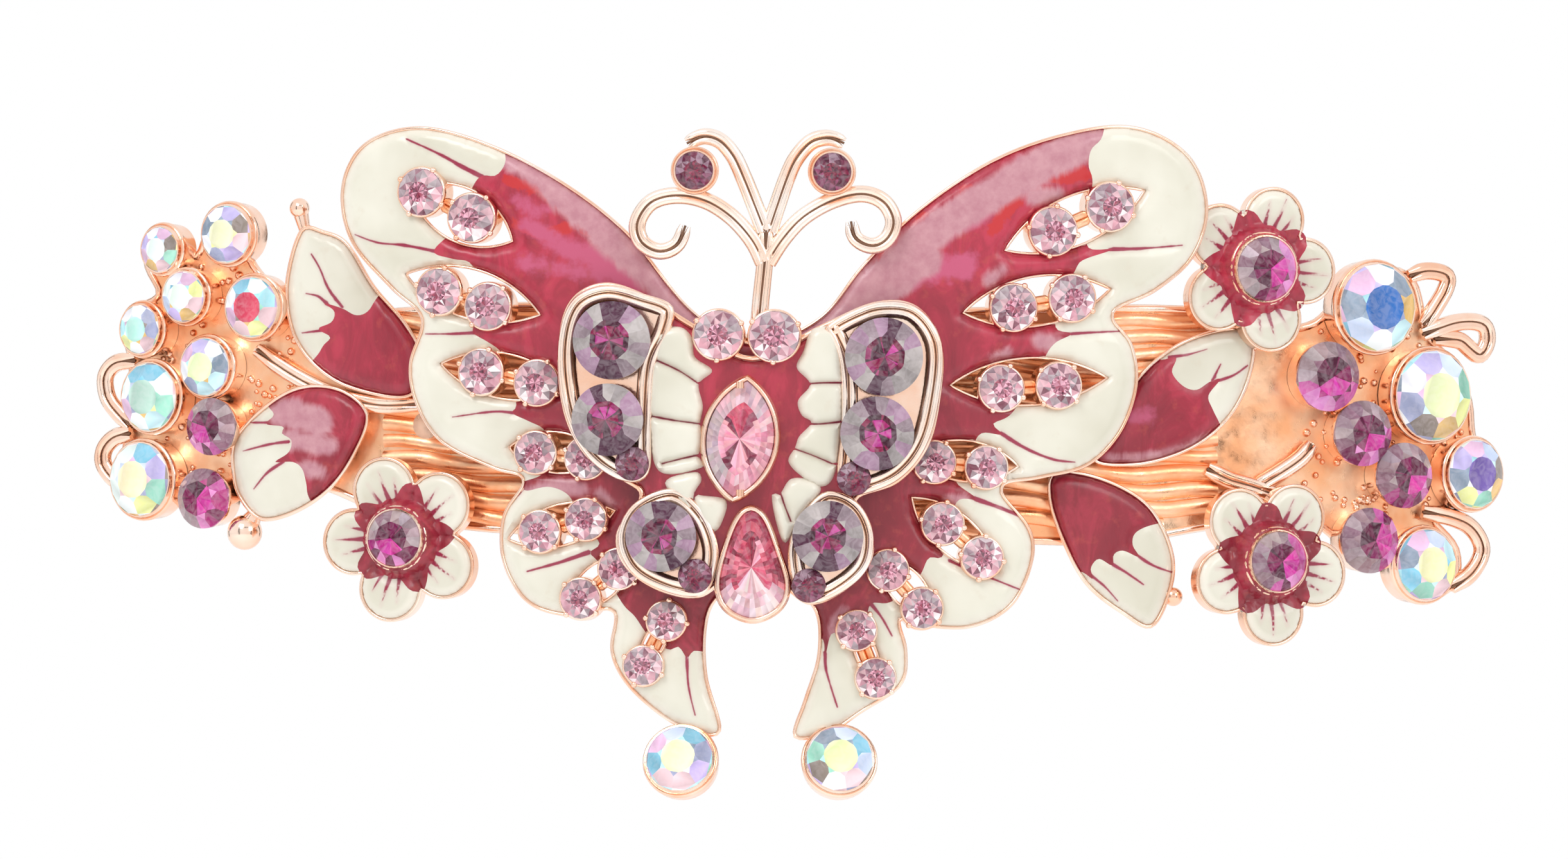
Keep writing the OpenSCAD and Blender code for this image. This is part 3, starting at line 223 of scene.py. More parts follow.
MAUVE = [([(-22.4, 18.4), (-19.5, 16.4), (-16, 13.2), (-13, 10.6), (-10.6, 8.4), (-8.2, 5.8)], 1.2, 1.3),
    ([(0.6, 5.4), (3.2, 7.6), (6, 9.6), (9, 12), (13, 14.6), (17, 17), (20.8, 18.8)], 1.2, 1.3),
    ([(3, 6.8), (6, 8.2), (8.4, 10.2)], 0.9, 1.4), ([(-20.4, -6.9), (-18.4, -6.5), (-16.6, -6.7)], 0.45, 0.5),
    ([(17, 4.2), (18.4, 3.9)], 0.5, 0.6), ([(13.6, 2.9), (14.6, 3.3)], 0.3, 0.4), ([(10.2, -7.5), (11.4, -7.6)], 0.3, 0.5),
    ([(2.6, -15.6), (1.8, -16.6), (2, -17.8)], 0.3, 0.35), ([(16.6, 14.7), (18.2, 14.9)], 0.5, 0.5),
    ([(13.4, 8.6), (14.2, 9.4)], 0.5, 0.4), ([(-15.2, -7), (-14.2, -8)], 0.3, 0.3),
    ([(-38.8, -1.1), (-37.4, -1.3), (-36, -1.8)], 1.1, 1.0), ([(-38.4, -3), (-36.6, -3.3), (-35.2, -3.6)], 0.7, 0.7),
    ([(-37, -5), (-36, -5.4)], 0.4, 0.6),
    ([(22.4, -4.4), (26, -4.2), (29.4, -3)], 0.3, 0.3)]
ROSE = [([(-20.6, 12.8), (-18, 11.2), (-15.6, 10.2), (-12.8, 8.6)], 0.5, 1.0), ([(-17.6, 9.4), (-15, 9)], 0.5, 0.6),
    ([(-21.4, 14.4), (-19.4, 13.6)], 0.3, 0.4), ([(-20.8, 10), (-18.4, 9.4)], 0.5, 0.4),
    ([(7.2, 8.2), (9.2, 9.2), (11.4, 9.6)], 0.4, 1.0), ([(9, 11.2), (11.5, 12.6), (13, 13.4)], 0.3, 0.5),
    ([(17.4, 17), (19.6, 17.6)], 0.5, 0.5), ([(22.6, -1), (25, -1.4)], 0.4, 0.5)]
SCARLET = [([(-22, 16), (-19, 14.8), (-16.4, 12.6), (-14.6, 10.8), (-13.6, 9.4)], 0.35, 0.45),
    ([(-12.8, 11.2), (-11.6, 9.9), (-10.8, 8.9)], 0.35, 0.5), ([(-21.6, 13), (-19.6, 12), (-17.6, 12.4)], 0.25, 0.5),
    ([(5.6, 10.8), (6.3, 11.8)], 0.8, 0.5), ([(8, 12.6), (9, 13.4)], 0.4, 0.3), ([(3, 8.1), (4.4, 9.2), (5, 10)], 0.3, 0.25),
    ([(0.7, 5.3), (1.7, 6.4)], 0.35, 0.2), ([(17.6, 16.2), (20, 16.4)], 0.4, 0.7), ([(13.6, 12.4), (15.2, 14.6)], 0.5, 0.5),
    ([(11, 14.8), (12, 15.4)], 0.25, 0.2)]


# ---- lines and places ----
def smooth(points, steps=3, closed=False):
    """A smooth line through the points, as a Catmull-Rom spline."""
    P = np.array(points, float)
    n = len(P)
    spans = n if closed else n - 1
    at = (lambda i: P[i % n]) if closed else (lambda i: P[min(max(i, 0), n - 1)])
    out = []
    for i in range(spans):
        a, b, c, d = at(i - 1), at(i), at(i + 1), at(i + 2)
        for k in range(steps):
            t = k / steps
            out.append(0.5 * (2 * b + (c - a) * t + (2 * a - 5 * b + 4 * c - d) * t * t
                + (3 * b - a - 3 * c + d) * t ** 3))
    if not closed:
        out.append(P[-1])
    return np.array(out)


def ring(points, steps=6):
    return smooth(points, steps, True)


def even(line, gap, closed=False):
    """The same line with its points an even gap apart."""
    L = np.vstack([line, line[:1]]) if closed else line
    s = np.concatenate([[0], np.cumsum(np.linalg.norm(np.diff(L, axis=0), axis=1))])
    n = max(int(round(s[-1] / gap)), 3)
    t = np.linspace(0, s[-1], n + 1)
    out = np.stack([np.interp(t, s, L[:, k]) for k in range(L.shape[1])], 1)
    return out[:-1] if closed else out


def shifted(line, d, closed=True):
    """A line moved sideways by d; a closed line moves inwards for a positive d."""
    if closed:
        t = np.roll(line, -1, 0) - np.roll(line, 1, 0)
        x, z = line[:, 0], line[:, 1]
        d = d * np.sign(np.sum(x * np.roll(z, -1) - np.roll(x, -1) * z))
    else:
        t = np.gradient(line, axis=0)
    t = t / np.maximum(np.linalg.norm(t, axis=1, keepdims=True), 1e-9)
    return line + d * np.stack([-t[:, 1], t[:, 0]], 1)


def lens(l, w, at=(0, 0), angle=0, n=40):
    """Outline of a pointed oval."""
    r = (l * l + w * w) / (2 * w)
    half = math.asin(l / r)
    a = np.linspace(-half, half, n // 2, endpoint=False)
    up = np.stack([-r * np.sin(a), r * np.cos(a) - (r - w)], 1)
    P = np.vstack([up, -up])
    c, s = math.cos(angle), math.sin(angle)
    return P @ np.array([[c, s], [-s, c]]) + np.array(at)


def circle(r, at=(0, 0), n=40):
    a = np.arange(n) * 2 * math.pi / n
    return np.stack([r * np.cos(a), r * np.sin(a)], 1) + np.array(at)


def opening(pair, grow=0.0):
    a, b, at, l, w = pair
    return lens(l + grow, w * 0.8 + grow, at, math.atan2(b[1] - a[1], b[0] - a[0]))


def inside(P, loop):
    """True for the points inside a closed loop."""
    x, z = P[:, 0], P[:, 1]
    hit = np.zeros(len(P), bool)
    for (x0, z0), (x1, z1) in zip(loop, np.roll(loop, -1, 0)):
        if z0 == z1:
            continue
        hit ^= ((z0 > z) != (z1 > z)) & (x < (x1 - x0) * (z - z0) / (z1 - z0) + x0)
    return hit


def distance(P, line, closed=False, w0=0.0, w1=0.0):
    """Distance from each point to a line, less a half width that goes from w0 to w1 along it."""
    A = np.asarray(line, float)
    B = np.roll(A, -1, 0) if closed else A[1:]
    A = A if closed else A[:-1]
    out = np.full(len(P), 1e9)
    for i, (a, b) in enumerate(zip(A, B)):
        d = b - a
        t = np.clip(((P - a) @ d) / max(d @ d, 1e-12), 0, 1)
        w = w0 + (w1 - w0) * (i + t) / len(A)
        out = np.minimum(out, np.linalg.norm(P - a - t[:, None] * d, axis=1) - w)
    return out


def strokes(P, list_of):
    """Signed distance to the nearest of several brush strokes, below zero inside one."""
    near = np.full(len(P), 9.0)
    for points, w0, w1 in list_of:
        near = np.minimum(near, distance(P, smooth(points, 4), False, w0, w1))
    return near


def vein_lines():
    return [even(smooth(points, 4), 0.25) for points, *_ in VEINS]


def on_arch(x, z, r):
    """The place in metres of a point on the arch's layer of radius r."""
    return Vector((x, ARCH_Y - math.sqrt(r * r - x * x), z)) * MM


def arch_matrix(x, z, r, spin=0.0, lean=0.0, scale=1.0, line=None):
    """Stands a piece on the arch, its own Z pointing out; spin and lean in degrees; its line passes x at radius line."""
    return (Matrix.Translation((0, ARCH_Y * MM, 0)) @ Matrix.Rotation(math.asin(x / (line or r)), 4, "Z")
        @ Matrix.Rotation(math.pi / 2, 4, "X") @ Matrix.Translation((0, z * MM, r * MM))
        @ Matrix.Rotation(math.radians(spin), 4, "Z") @ Matrix.Rotation(math.radians(lean), 4, "X")
        @ Matrix.Scale(scale * MM, 4))


# ---- working on objects ----
def pick(*objects):
    bpy.ops.object.select_all(action="DESELECT")
    for o in objects:
        o.select_set(True)
    bpy.context.view_layer.objects.active = objects[0]


def edit(obj, mode="FACE"):
    pick(obj)
    bpy.ops.object.mode_set(mode="EDIT")
    bpy.ops.mesh.select_mode(type=mode)
    bpy.ops.mesh.select_all(action="SELECT")


def done():
    bpy.ops.object.mode_set(mode="OBJECT")


def choose(obj, test):
    """In edit mode, selects only the faces whose centre and normal pass the test."""
    bpy.ops.mesh.select_all(action="DESELECT")
    done()
    for p in obj.data.polygons:
        p.select = bool(test(p.center, p.normal))
    bpy.ops.object.mode_set(mode="EDIT")


def apply(obj, kind, **settings):
    pick(obj)
    m = obj.modifiers.new(kind.title(), kind)
    for k, v in settings.items():
        setattr(m, k, v)
    bpy.ops.object.modifier_apply(modifier=m.name)


def soft_edges(obj, angle=35):
    pick(obj)
    bpy.ops.object.shade_smooth_by_angle(angle=math.radians(angle))


def copies(name, master, places):
    """One object made of a copy of the master at each place."""
    made = []
    for m in places:
        o = master.copy()
        o.data = master.data.copy()
        bpy.context.collection.objects.link(o)
        o.matrix_world = m
        made.append(o)
    pick(*made)
    bpy.ops.object.transform_apply(location=True, rotation=True, scale=True)
    return joined(name, made)


def joined(name, objects):
    pick(*objects)
    if len(objects) > 1:
        bpy.ops.object.join()
    o = bpy.context.view_layer.objects.active
    o.name = o.data.name = name
    return o


def drop(*objects):
    for o in objects:
        me = o.data
        bpy.data.objects.remove(o)
        bpy.data.meshes.remove(me)


def finished(obj, materials, replaces=(), body="ornament"):
    """Paints a piece and puts it in the frame."""
    if materials is not None:
        obj.data.materials.clear()
        for m in materials if isinstance(materials, (list, tuple)) else [materials]:
            obj.data.materials.append(m)
    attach(obj, body)
    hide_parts(*([replaces] if isinstance(replaces, str) else replaces))
    return obj


def wires(name, lines, bevel=3):
    """Round wires as one mesh: each line is (points in metres, radius in mm or a list of radii, closed)."""
    curve = bpy.data.curves.new(name, "CURVE")
    curve.dimensions = "3D"
    curve.bevel_depth = MM
    curve.bevel_resolution = bevel
    curve.use_fill_caps = True
    for points, radius, closed in lines:
        s = curve.splines.new("POLY")
        s.points.add(len(points) - 1)
        s.use_cyclic_u = closed
        radii = radius if isinstance(radius, (list, tuple, np.ndarray)) else [radius] * len(points)
        for p, co, r in zip(s.points, points, radii):
            p.co = (*co, 1)
            p.radius = r
    o = bpy.data.objects.new(name, curve)
    bpy.context.collection.objects.link(o)
    pick(o)
    bpy.ops.object.convert(target="MESH")
    o = bpy.context.view_layer.objects.active
    edit(o, "VERT")
    bpy.ops.mesh.remove_doubles(threshold=1e-7)
    bpy.ops.mesh.normals_make_consistent(inside=False)
    done()
    soft_edges(o, 60)
    return o


def along(line, r, closed=False, gap=0.35):
    """A flat line laid on the arch at radius r, in metres."""
    return [on_arch(x, z, r) for x, z in even(np.asarray(line, float), gap, closed)]


# ---- sheets of metal and enamel ----
def triangles(loops, lines=(), step=0.5):
    """Triangles over a flat shape with holes; the lines become edges of it."""
    pts, edges = [], []

    def add(line, closed):
        a, m = len(pts), len(line)
        pts.extend(map(tuple, line))
        edges.extend((a + i, a + i + 1) for i in range(m - 1))
        if closed:
            edges.append((a + m - 1, a))

    loops = [np.asarray(l, float) for l in loops]
    for l in loops:
        add(l, True)
    for l in lines:
        add(l, False)
    lo, hi = np.min(loops[0], 0), np.max(loops[0], 0)
    rows = np.arange(lo[1], hi[1], step * 0.866)
    grid = np.array([(x + (0.5 * step if i % 2 else 0), z) for i, z in enumerate(rows)
        for x in np.arange(lo[0], hi[0], step)])
    keep = np.zeros(len(grid), bool)
    for l in loops:
        keep ^= inside(grid, l)
    for l in loops:
        keep &= distance(grid, l, True) > step * 0.45
    for l in lines:
        keep &= distance(grid, l) > step * 0.4
    pts.extend(map(tuple, grid[keep]))
    V, _, F, *_ = delaunay_2d_cdt([Vector(p) for p in pts], edges, [], 0, 1e-5)
    V = np.array([tuple(v) for v in V])
    F = np.array([f for f in F if len(f) == 3])
    mid = V[F].mean(axis=1)
    hit = np.zeros(len(F), bool)
    for l in loops:
        hit ^= inside(mid, l)
    F = F[hit]
    a, b, c = V[F[:, 0]], V[F[:, 1]], V[F[:, 2]]
    turn = (b[:, 0] - a[:, 0]) * (c[:, 1] - a[:, 1]) - (b[:, 1] - a[:, 1]) * (c[:, 0] - a[:, 0])
    F[turn < 0] = F[turn < 0][:, ::-1]
    return V, F[np.abs(turn) > 1e-9]


def slab(name, V, F, front, back, marks=None):
    """A closed sheet on the arch from its flat triangles: front and back are radii, one number or one per point."""
    used = np.unique(F)
    renumber = np.full(len(V), -1)
    renumber[used] = np.arange(len(used))
    V, F = V[used], renumber[F]
    n = len(V)
    front = front[used] if isinstance(front, np.ndarray) else np.full(n, front)
    back = back[used] if isinstance(back, np.ndarray) else np.full(n, back)
    top = [on_arch(x, z, r) for (x, z), r in zip(V, front)]
    low = [on_arch(x, z, r) for (x, z), r in zip(V, back)]
    once = {}
    for f in F:
        for a, b in ((f[0], f[1]), (f[1], f[2]), (f[2], f[0])):
            if (b, a) in once:
                del once[(b, a)]
            else:
                once[(a, b)] = True
    faces = [tuple(map(int, f)) for f in F] + [tuple(int(i) + n for i in f[::-1]) for f in F]
    faces += [(int(a), int(a) + n, int(b) + n, int(b)) for a, b in once]
    me = bpy.data.meshes.new(name)
    me.from_pydata([tuple(v) for v in top + low], [], faces)
    me.update()
    for key, values in (marks or {}).items():
        layer = me.attributes.new(key, "FLOAT", "POINT")
        values = values[used]
        layer.data.foreach_set("value", np.concatenate([values, values]).astype(np.float32))
    o = bpy.data.objects.new(name, me)
    bpy.context.collection.objects.link(o)
    soft_edges(o, 50)
    return o


def domed(d, height, width):
    """Height of enamel at a distance d from its edge: round at the edge, flat in the middle."""
    t = np.clip(d / width, 0, 1)
    return height * np.sqrt(1 - (1 - t) ** 2)


# ---- colours and finishes ----
def rgb(r, g, b):
    """A screen colour, 0 to 255, as the linear numbers that Blender works in."""
    return tuple(c / 12.92 if c <= 0.04045 else ((c + 0.055) / 1.055) ** 2.4 for c in (r / 255, g / 255, b / 255))


def new_material(name):
    m = bpy.data.materials.new(name)
    m.use_nodes = True
    t = m.node_tree
    return m, t, t.nodes["Principled BSDF"]


def node(tree, kind, inputs=None, **settings):
    n = tree.nodes.new(kind)
    for k, v in settings.items():
        setattr(n, k, v)
    for k, v in (inputs or {}).items():
        if isinstance(v, bpy.types.NodeSocket):
            tree.links.new(v, n.inputs[k])
        else:
            n.inputs[k].default_value = v
    return n


def noise(tree, scale, detail=4.0, rough=0.55, distort=0.0, stretch=(1, 1, 1)):
    """Noise over the piece's own coordinates; scale is in waves a metre."""
    co = node(tree, "ShaderNodeTexCoord").outputs["Object"]
    if stretch != (1, 1, 1):
        co = node(tree, "ShaderNodeMapping", {"Vector": co, "Scale": stretch}).outputs[0]
    return node(tree, "ShaderNodeTexNoise", {"Vector": co, "Scale": scale, "Detail": detail, "Roughness": rough,
        "Distortion": distort})


def spread(tree, value, lo, hi, to_lo=0.0, to_hi=1.0, smooth_step=False):
    n = node(tree, "ShaderNodeMapRange", {"Value": value, "From Min": lo, "From Max": hi, "To Min": to_lo, "To Max": to_hi},
        interpolation_type="SMOOTHSTEP" if smooth_step else "LINEAR")
    return n.outputs[0]


def mix(tree, factor, a, b):
    n = node(tree, "ShaderNodeMix", data_type="RGBA")
    for socket, v in ((n.inputs[0], factor), (n.inputs[6], a), (n.inputs[7], b)):
        if isinstance(v, bpy.types.NodeSocket):
            tree.links.new(v, socket)
        else:
            socket.default_value = (*v, 1) if isinstance(v, tuple) else v
    return n.outputs[2]


def bump(tree, shader, height, strength, distance):
    n = node(tree, "ShaderNodeBump", {"Height": height, "Strength": strength, "Distance": distance * MM})
    tree.links.new(n.outputs[0], shader.inputs["Normal"])


def gold_material(name, light, deep, rough, grain, depth):
    """Rose-gold plating: tone drifts between two golds, roughness is patchy and the surface has a cast grain."""
    m, t, s = new_material(name)
    broad = noise(t, 260, 3).outputs[0]
    t.links.new(mix(t, spread(t, broad, 0.35, 0.7), deep, light), s.inputs["Base Color"])
    s.inputs["Metallic"].default_value = 1.0
    t.links.new(spread(t, noise(t, 900, 5).outputs[0], 0.3, 0.75, rough * 0.6, rough * 1.6), s.inputs["Roughness"])
    bump(t, s, noise(t, grain, 6, 0.6).outputs[0], 0.5, depth)
    return m


def steel_material(name, tone, rough, along_x=True):
    """Pressed steel with fine drawn lines along the strip."""
    m, t, s = new_material(name)
    lines = noise(t, 900, 4, 0.6, 0, (0.04, 1, 1) if along_x else (1, 1, 1)).outputs[0]
    t.links.new(mix(t, lines, tuple(c * 0.78 for c in tone), tone), s.inputs["Base Color"])
    s.inputs["Metallic"].default_value = 1.0
    t.links.new(spread(t, lines, 0.3, 0.7, rough * 0.7, rough * 1.5), s.inputs["Roughness"])
    bump(t, s, lines, 0.25, 0.03)
    return m


def stone_material(name, rough=0.03):
    """Cut glass over foil: each facet has its own painted colour, the glass's own colour together with painted
    reflections and glints, under a clear polished coat.
    """
    m, t, s = new_material(name)
    # Each facet's colour is painted: the glass's own colour with painted reflections and glints.
    facet_tint_and_glint = node(t, "ShaderNodeVertexColor", layer_name="facet_tint_and_glint").outputs[0]
    streak = noise(t, 1500, 2, 0.5, 1.5).outputs[0]
    t.links.new(mix(t, spread(t, streak, 0.35, 0.65, 0.0, 0.12), facet_tint_and_glint, (0.9, 0.82, 0.86)), s.inputs["Base Color"])
    s.inputs["Roughness"].default_value = rough
    s.inputs["IOR"].default_value = 1.33
    return m


def painted(tree, name, soft, wobble=None, amount=0.0):
    """1 inside a brush stroke and 0 outside, from a distance in millimetres kept on the mesh."""
    d = node(tree, "ShaderNodeAttribute", attribute_name=name).outputs["Fac"]
    if wobble is not None:
        d = node(tree, "ShaderNodeMath", {0: d, 1: spread(tree, wobble, 0.3, 0.7, -amount, amount)}, operation="ADD").outputs[0]
    return spread(tree, d, -soft, soft, 1.0, 0.0, True)


def cream_material():
    """Pearly cream enamel with thin crimson veins painted in it, and a painted highlight along its rims."""
    m, t, s = new_material("cream enamel")
    cloud = noise(t, 140, 3, 0.5).outputs[0]
    base = mix(t, spread(t, cloud, 0.35, 0.65), rgb(203, 199, 182), tuple(settings().cream))
    fleck = noise(t, 700, 3, 0.6).outputs[0]
    base = mix(t, spread(t, fleck, 0.6, 0.75, 0, 0.35), base, rgb(204, 193, 175))
    # Painted highlight: the cream grows lighter towards the rim of each field, where the rounded edge catches the
    # light.
    edge = node(t, "ShaderNodeAttribute", attribute_name="rim").outputs["Fac"]
    base = mix(t, spread(t, edge, 0.0, 0.8, 0.6, 0.0, True), base, rgb(232, 224, 212))
    fine = noise(t, 800, 4).outputs[0]
    base = mix(t, painted(t, "vein", 0.3, fine, 0.05), base, rgb(206, 180, 174))
    base = mix(t, painted(t, "vein", 0.05, fine, 0.03), base, rgb(146, 46, 70))
    t.links.new(base, s.inputs["Base Color"])
    s.inputs["Roughness"].default_value = 0.24
    s.inputs["Coat Weight"].default_value = 0.15
    s.inputs["Coat Roughness"].default_value = 0.1
    bump(t, s, cloud, 0.2, 0.15)
    return m


def crimson_material():
    """Brushed crimson enamel: darker low down, with rose, mauve and scarlet strokes laid over it, and painted shade
    along its rims.
    """
    m, t, s = new_material("crimson enamel")
    co = node(t, "ShaderNodeTexCoord").outputs["Object"]
    z = node(t, "ShaderNodeSeparateXYZ", {0: co}).outputs["Z"]
    base = mix(t, spread(t, z, -0.016, 0.014, 0, 1, True), rgb(138, 36, 50), tuple(settings().crimson))
    brush = noise(t, 420, 5, 0.62, 1.2, (1, 1, 0.45)).outputs[0]
    base = mix(t, spread(t, brush, 0.42, 0.66, 0, 0.6), base, rgb(122, 30, 44))
    base = mix(t, spread(t, brush, 0.5, 0.3, 0, 0.55), base, rgb(190, 56, 80))
    fine = noise(t, 1100, 4, 0.6).outputs[0]
    base = mix(t, spread(t, fine, 0.56, 0.72, 0, 0.4), base, rgb(180, 74, 66))
    base = mix(t, painted(t, "scarlet", 0.12, fine, 0.3), base, rgb(186, 40, 44))
    base = mix(t, painted(t, "rose", 0.45, fine, 0.35), base, rgb(186, 80, 112))
    grey = mix(t, spread(t, fine, 0.35, 0.65), rgb(178, 120, 132), rgb(192, 140, 148))
    base = mix(t, painted(t, "mauve", 0.34, brush, 0.3), base, grey)
    # Painted shade: the crimson darkens along the rim, where the enamel dips to the metal.
    edge = node(t, "ShaderNodeAttribute", attribute_name="rim").outputs["Fac"]
    base = mix(t, spread(t, edge, 0.0, 0.4, 0.3, 0.0, True), base, rgb(120, 34, 42))
    t.links.new(base, s.inputs["Base Color"])
    s.inputs["Roughness"].default_value = 0.3
    s.inputs["Coat Weight"].default_value = 0.1
    s.inputs["Coat Roughness"].default_value = 0.1
    bump(t, s, brush, 0.25, 0.15)
    return m


def painted_shade_material():
    """Painted shade: a dark metal laid in the grooves of the wirework, where the grooves fall in shadow."""
    m, t, s = new_material("groove patina")
    t.links.new(mix(t, noise(t, 900, 4).outputs[0], rgb(78, 56, 46), rgb(150, 112, 88)), s.inputs["Base Color"])
    s.inputs["Metallic"].default_value = 0.8
    s.inputs["Roughness"].default_value = 0.45
    bump(t, s, noise(t, 1600, 4).outputs[0], 0.5, 0.08)
    return m


MATERIALS = {}


def finish_of(key):
    """Each finish is made once."""
    makers = {
        "gold": lambda: gold_material("polished rose gold", tuple(settings().plating), rgb(248, 196, 166), 0.14, 700, 0.06),
        "cast": lambda: gold_material("cast rose gold", rgb(255, 218, 194), rgb(244, 172, 132), 0.25, 520, 0.14),
        # Deep rose gold: the same plating, rougher, and darker as painted shade for the sunken base and links.
        "deep": lambda: gold_material("deep rose gold", rgb(255, 214, 180), rgb(250, 180, 132), 0.34, 420, 0.16),
        "steel": lambda: steel_material("nickel plated steel", (0.78, 0.76, 0.73), 0.24),
        "spring": lambda: steel_material("bright spring steel", (0.7, 0.69, 0.7), 0.18),
        "stone": lambda: stone_material("foiled cut glass"),
        "cream": cream_material,
        "crimson": crimson_material,
        "painted_shade": painted_shade_material,
        # Bright rose gold: the same plating made lighter for the raised wire strands, a painted highlight.
        "bright": lambda: gold_material("bright rose gold", rgb(255, 244, 236), rgb(255, 222, 200), 0.2, 700, 0.05),
    }
    if key not in MATERIALS:
        MATERIALS[key] = makers[key]()
    return MATERIALS[key]


# ---- cut stones and their cups ----
# Facet colours of each glass: its own colour with painted reflections; the greys are painted reflections of white
# light, the upper facets greyer and the lower ones brighter as painted light.
REFLECTED_GREYS = [rgb(158, 140, 146), rgb(176, 162, 166), rgb(140, 116, 126)]
FACET_TINTS_AND_GLINTS = {
    "pink": {"table": [rgb(132, 74, 92), rgb(178, 112, 132), rgb(96, 50, 66), rgb(216, 156, 174), rgb(150, 70, 88)],
        "upper": REFLECTED_GREYS + [rgb(206, 164, 172), rgb(138, 92, 106), rgb(188, 150, 156)],
        "lower": [rgb(226, 186, 194), rgb(250, 234, 236), rgb(196, 140, 154), rgb(122, 70, 84), rgb(212, 156, 168), REFLECTED_GREYS[0]]},
    "plum": {"table": [rgb(94, 20, 48), rgb(70, 24, 44), rgb(128, 24, 60), rgb(104, 16, 44)],
        "upper": [rgb(140, 108, 124), rgb(104, 36, 62), rgb(80, 22, 48)],
        "lower": [rgb(112, 26, 56), rgb(82, 20, 42), rgb(132, 58, 92), rgb(94, 40, 64)]},
    "aurora": {"table": [],
        "upper": [rgb(170, 226, 236), rgb(200, 214, 240), rgb(128, 190, 214), rgb(186, 176, 222), rgb(226, 240, 236),
            rgb(134, 150, 168), rgb(236, 236, 244), rgb(214, 176, 206)],
        "lower": [rgb(232, 236, 160), rgb(196, 232, 240), rgb(150, 206, 186), rgb(190, 172, 222), rgb(240, 246, 246),
            rgb(214, 176, 110), rgb(150, 156, 186), rgb(140, 128, 120), rgb(222, 190, 196)]},
}
# Painted glints: the colour of the light that each iridescent stone's table shows.
GLEAMS = {"ice": rgb(226, 240, 238), "lemon": rgb(240, 244, 190), "aqua": rgb(176, 228, 230), "mint": rgb(186, 214, 194),
    "cherry": rgb(206, 70, 96), "sapphire": rgb(52, 112, 178), "violet": rgb(112, 98, 160)}


def facets(count, start, r, z, tilt):
    """Cutting planes round a stone: each passes through radius r at height z and leans by tilt."""
    out = []
    for i in range(count):
        a = math.radians(start + 360 * i / count)
        t = math.radians(tilt)
        out.append(((r * math.cos(a), r * math.sin(a), z), (math.sin(t) * math.cos(a), math.sin(t) * math.sin(a), math.cos(t))))
    return out


def cut(obj, planes):
    """Cuts a blank by planes, as a stone is ground: each plane leaves one flat facet."""
    edit(obj)
    for co, no in planes:
        bpy.ops.mesh.select_all(action="SELECT")
        bpy.ops.mesh.bisect(plane_co=co, plane_no=no, use_fill=True, clear_outer=True)
    bpy.ops.mesh.select_all(action="SELECT")
    bpy.ops.mesh.remove_doubles(threshold=1e-4)
    bpy.ops.mesh.normals_make_consistent(inside=False)
    done()


def round_stone(name, table=0.5, stars=True, shards=True, top=0.36, girdle=58):
    """A round stone of radius 1 with its girdle at height 0."""
    bpy.ops.mesh.primitive_cylinder_add(vertices=48, radius=1, depth=top + 0.55, location=(0, 0, (top - 0.55) / 2))
    o = bpy.context.view_layer.objects.active
    o.name = name
    pick(o)
    bpy.ops.object.transform_apply(location=True)
    tilt = math.degrees(math.atan2(top - 0.05, 1 - table))
    planes = facets(8, 0, 1, 0.05, tilt) + facets(16, 11.25, 1, 0.0, girdle)
    if stars:
        planes += facets(8, 22.5, table * 0.98, top, tilt * 0.62)
    planes += [(c, (n[0], n[1], -n[2])) for c, n in facets(8, 22.5, 1, -0.06, 44)]
    cut(o, planes)
    edit(o)
    if shards:
        choose(o, lambda c, n: n.z > 0.15 and n.z < 0.99)
        bpy.ops.mesh.poke()
        choose(o, lambda c, n: n.z > 0.99)
        bpy.ops.mesh.inset(thickness=table * 0.42)
        bpy.ops.mesh.poke()
        choose(o, lambda c, n: n.z > 0.99 and math.hypot(c.x, c.y) > table * 0.6)
        bpy.ops.mesh.poke()
    done()
    return o


def fan_table(obj):
    """Splits a stone's table into a fan."""
    edit(obj)
    choose(obj, lambda c, n: n.z > 0.99)
    bpy.ops.mesh.poke()
    done()


def paint_facets(obj, colour_of):
    """Gives each facet its own colour: the glass's colour together with painted reflections."""
    layer = obj.data.color_attributes.new("facet_tint_and_glint", "FLOAT_COLOR", "CORNER")
    for p in obj.data.polygons:
        c = p.center
        tone = colour_of(math.hypot(c.x, c.y), math.degrees(math.atan2(c.y, c.x)) % 360, p.normal.z)
        for i, v in zip(p.loop_indices, p.vertices):
            co = obj.data.vertices[v].co
            # Painted shading: each corner is made up to a fifth lighter or darker, so a facet looks unevenly lit.
            k = 1 + 0.22 * math.sin(7 * co.x + 5 * co.y + p.index)
            layer.data[i].color = (*(min(1, t * k) for t in tone), 1)


def sparkle(kind, rng, table, gleam=None):
    """Random facet colours of one kind of glass: its own colour with painted reflections, greyer above and brighter
    below as painted light.
    """
    tones = FACET_TINTS_AND_GLINTS[kind]

    def colour_of(r, angle, nz):
        if nz > 0.99 and r < table * 1.1:
            if gleam:
                return tuple(min(1, c * rng.uniform(0.9, 1.08)) for c in gleam)
            pool = tones["table"]
        else:
            pool = tones["upper" if math.sin(math.radians(angle)) > rng.uniform(-0.5, 0.6) else "lower"]
        k = rng.uniform(0.88, 1.1)
        return tuple(min(1, c * k) for c in rng.choice(pool))
    return colour_of


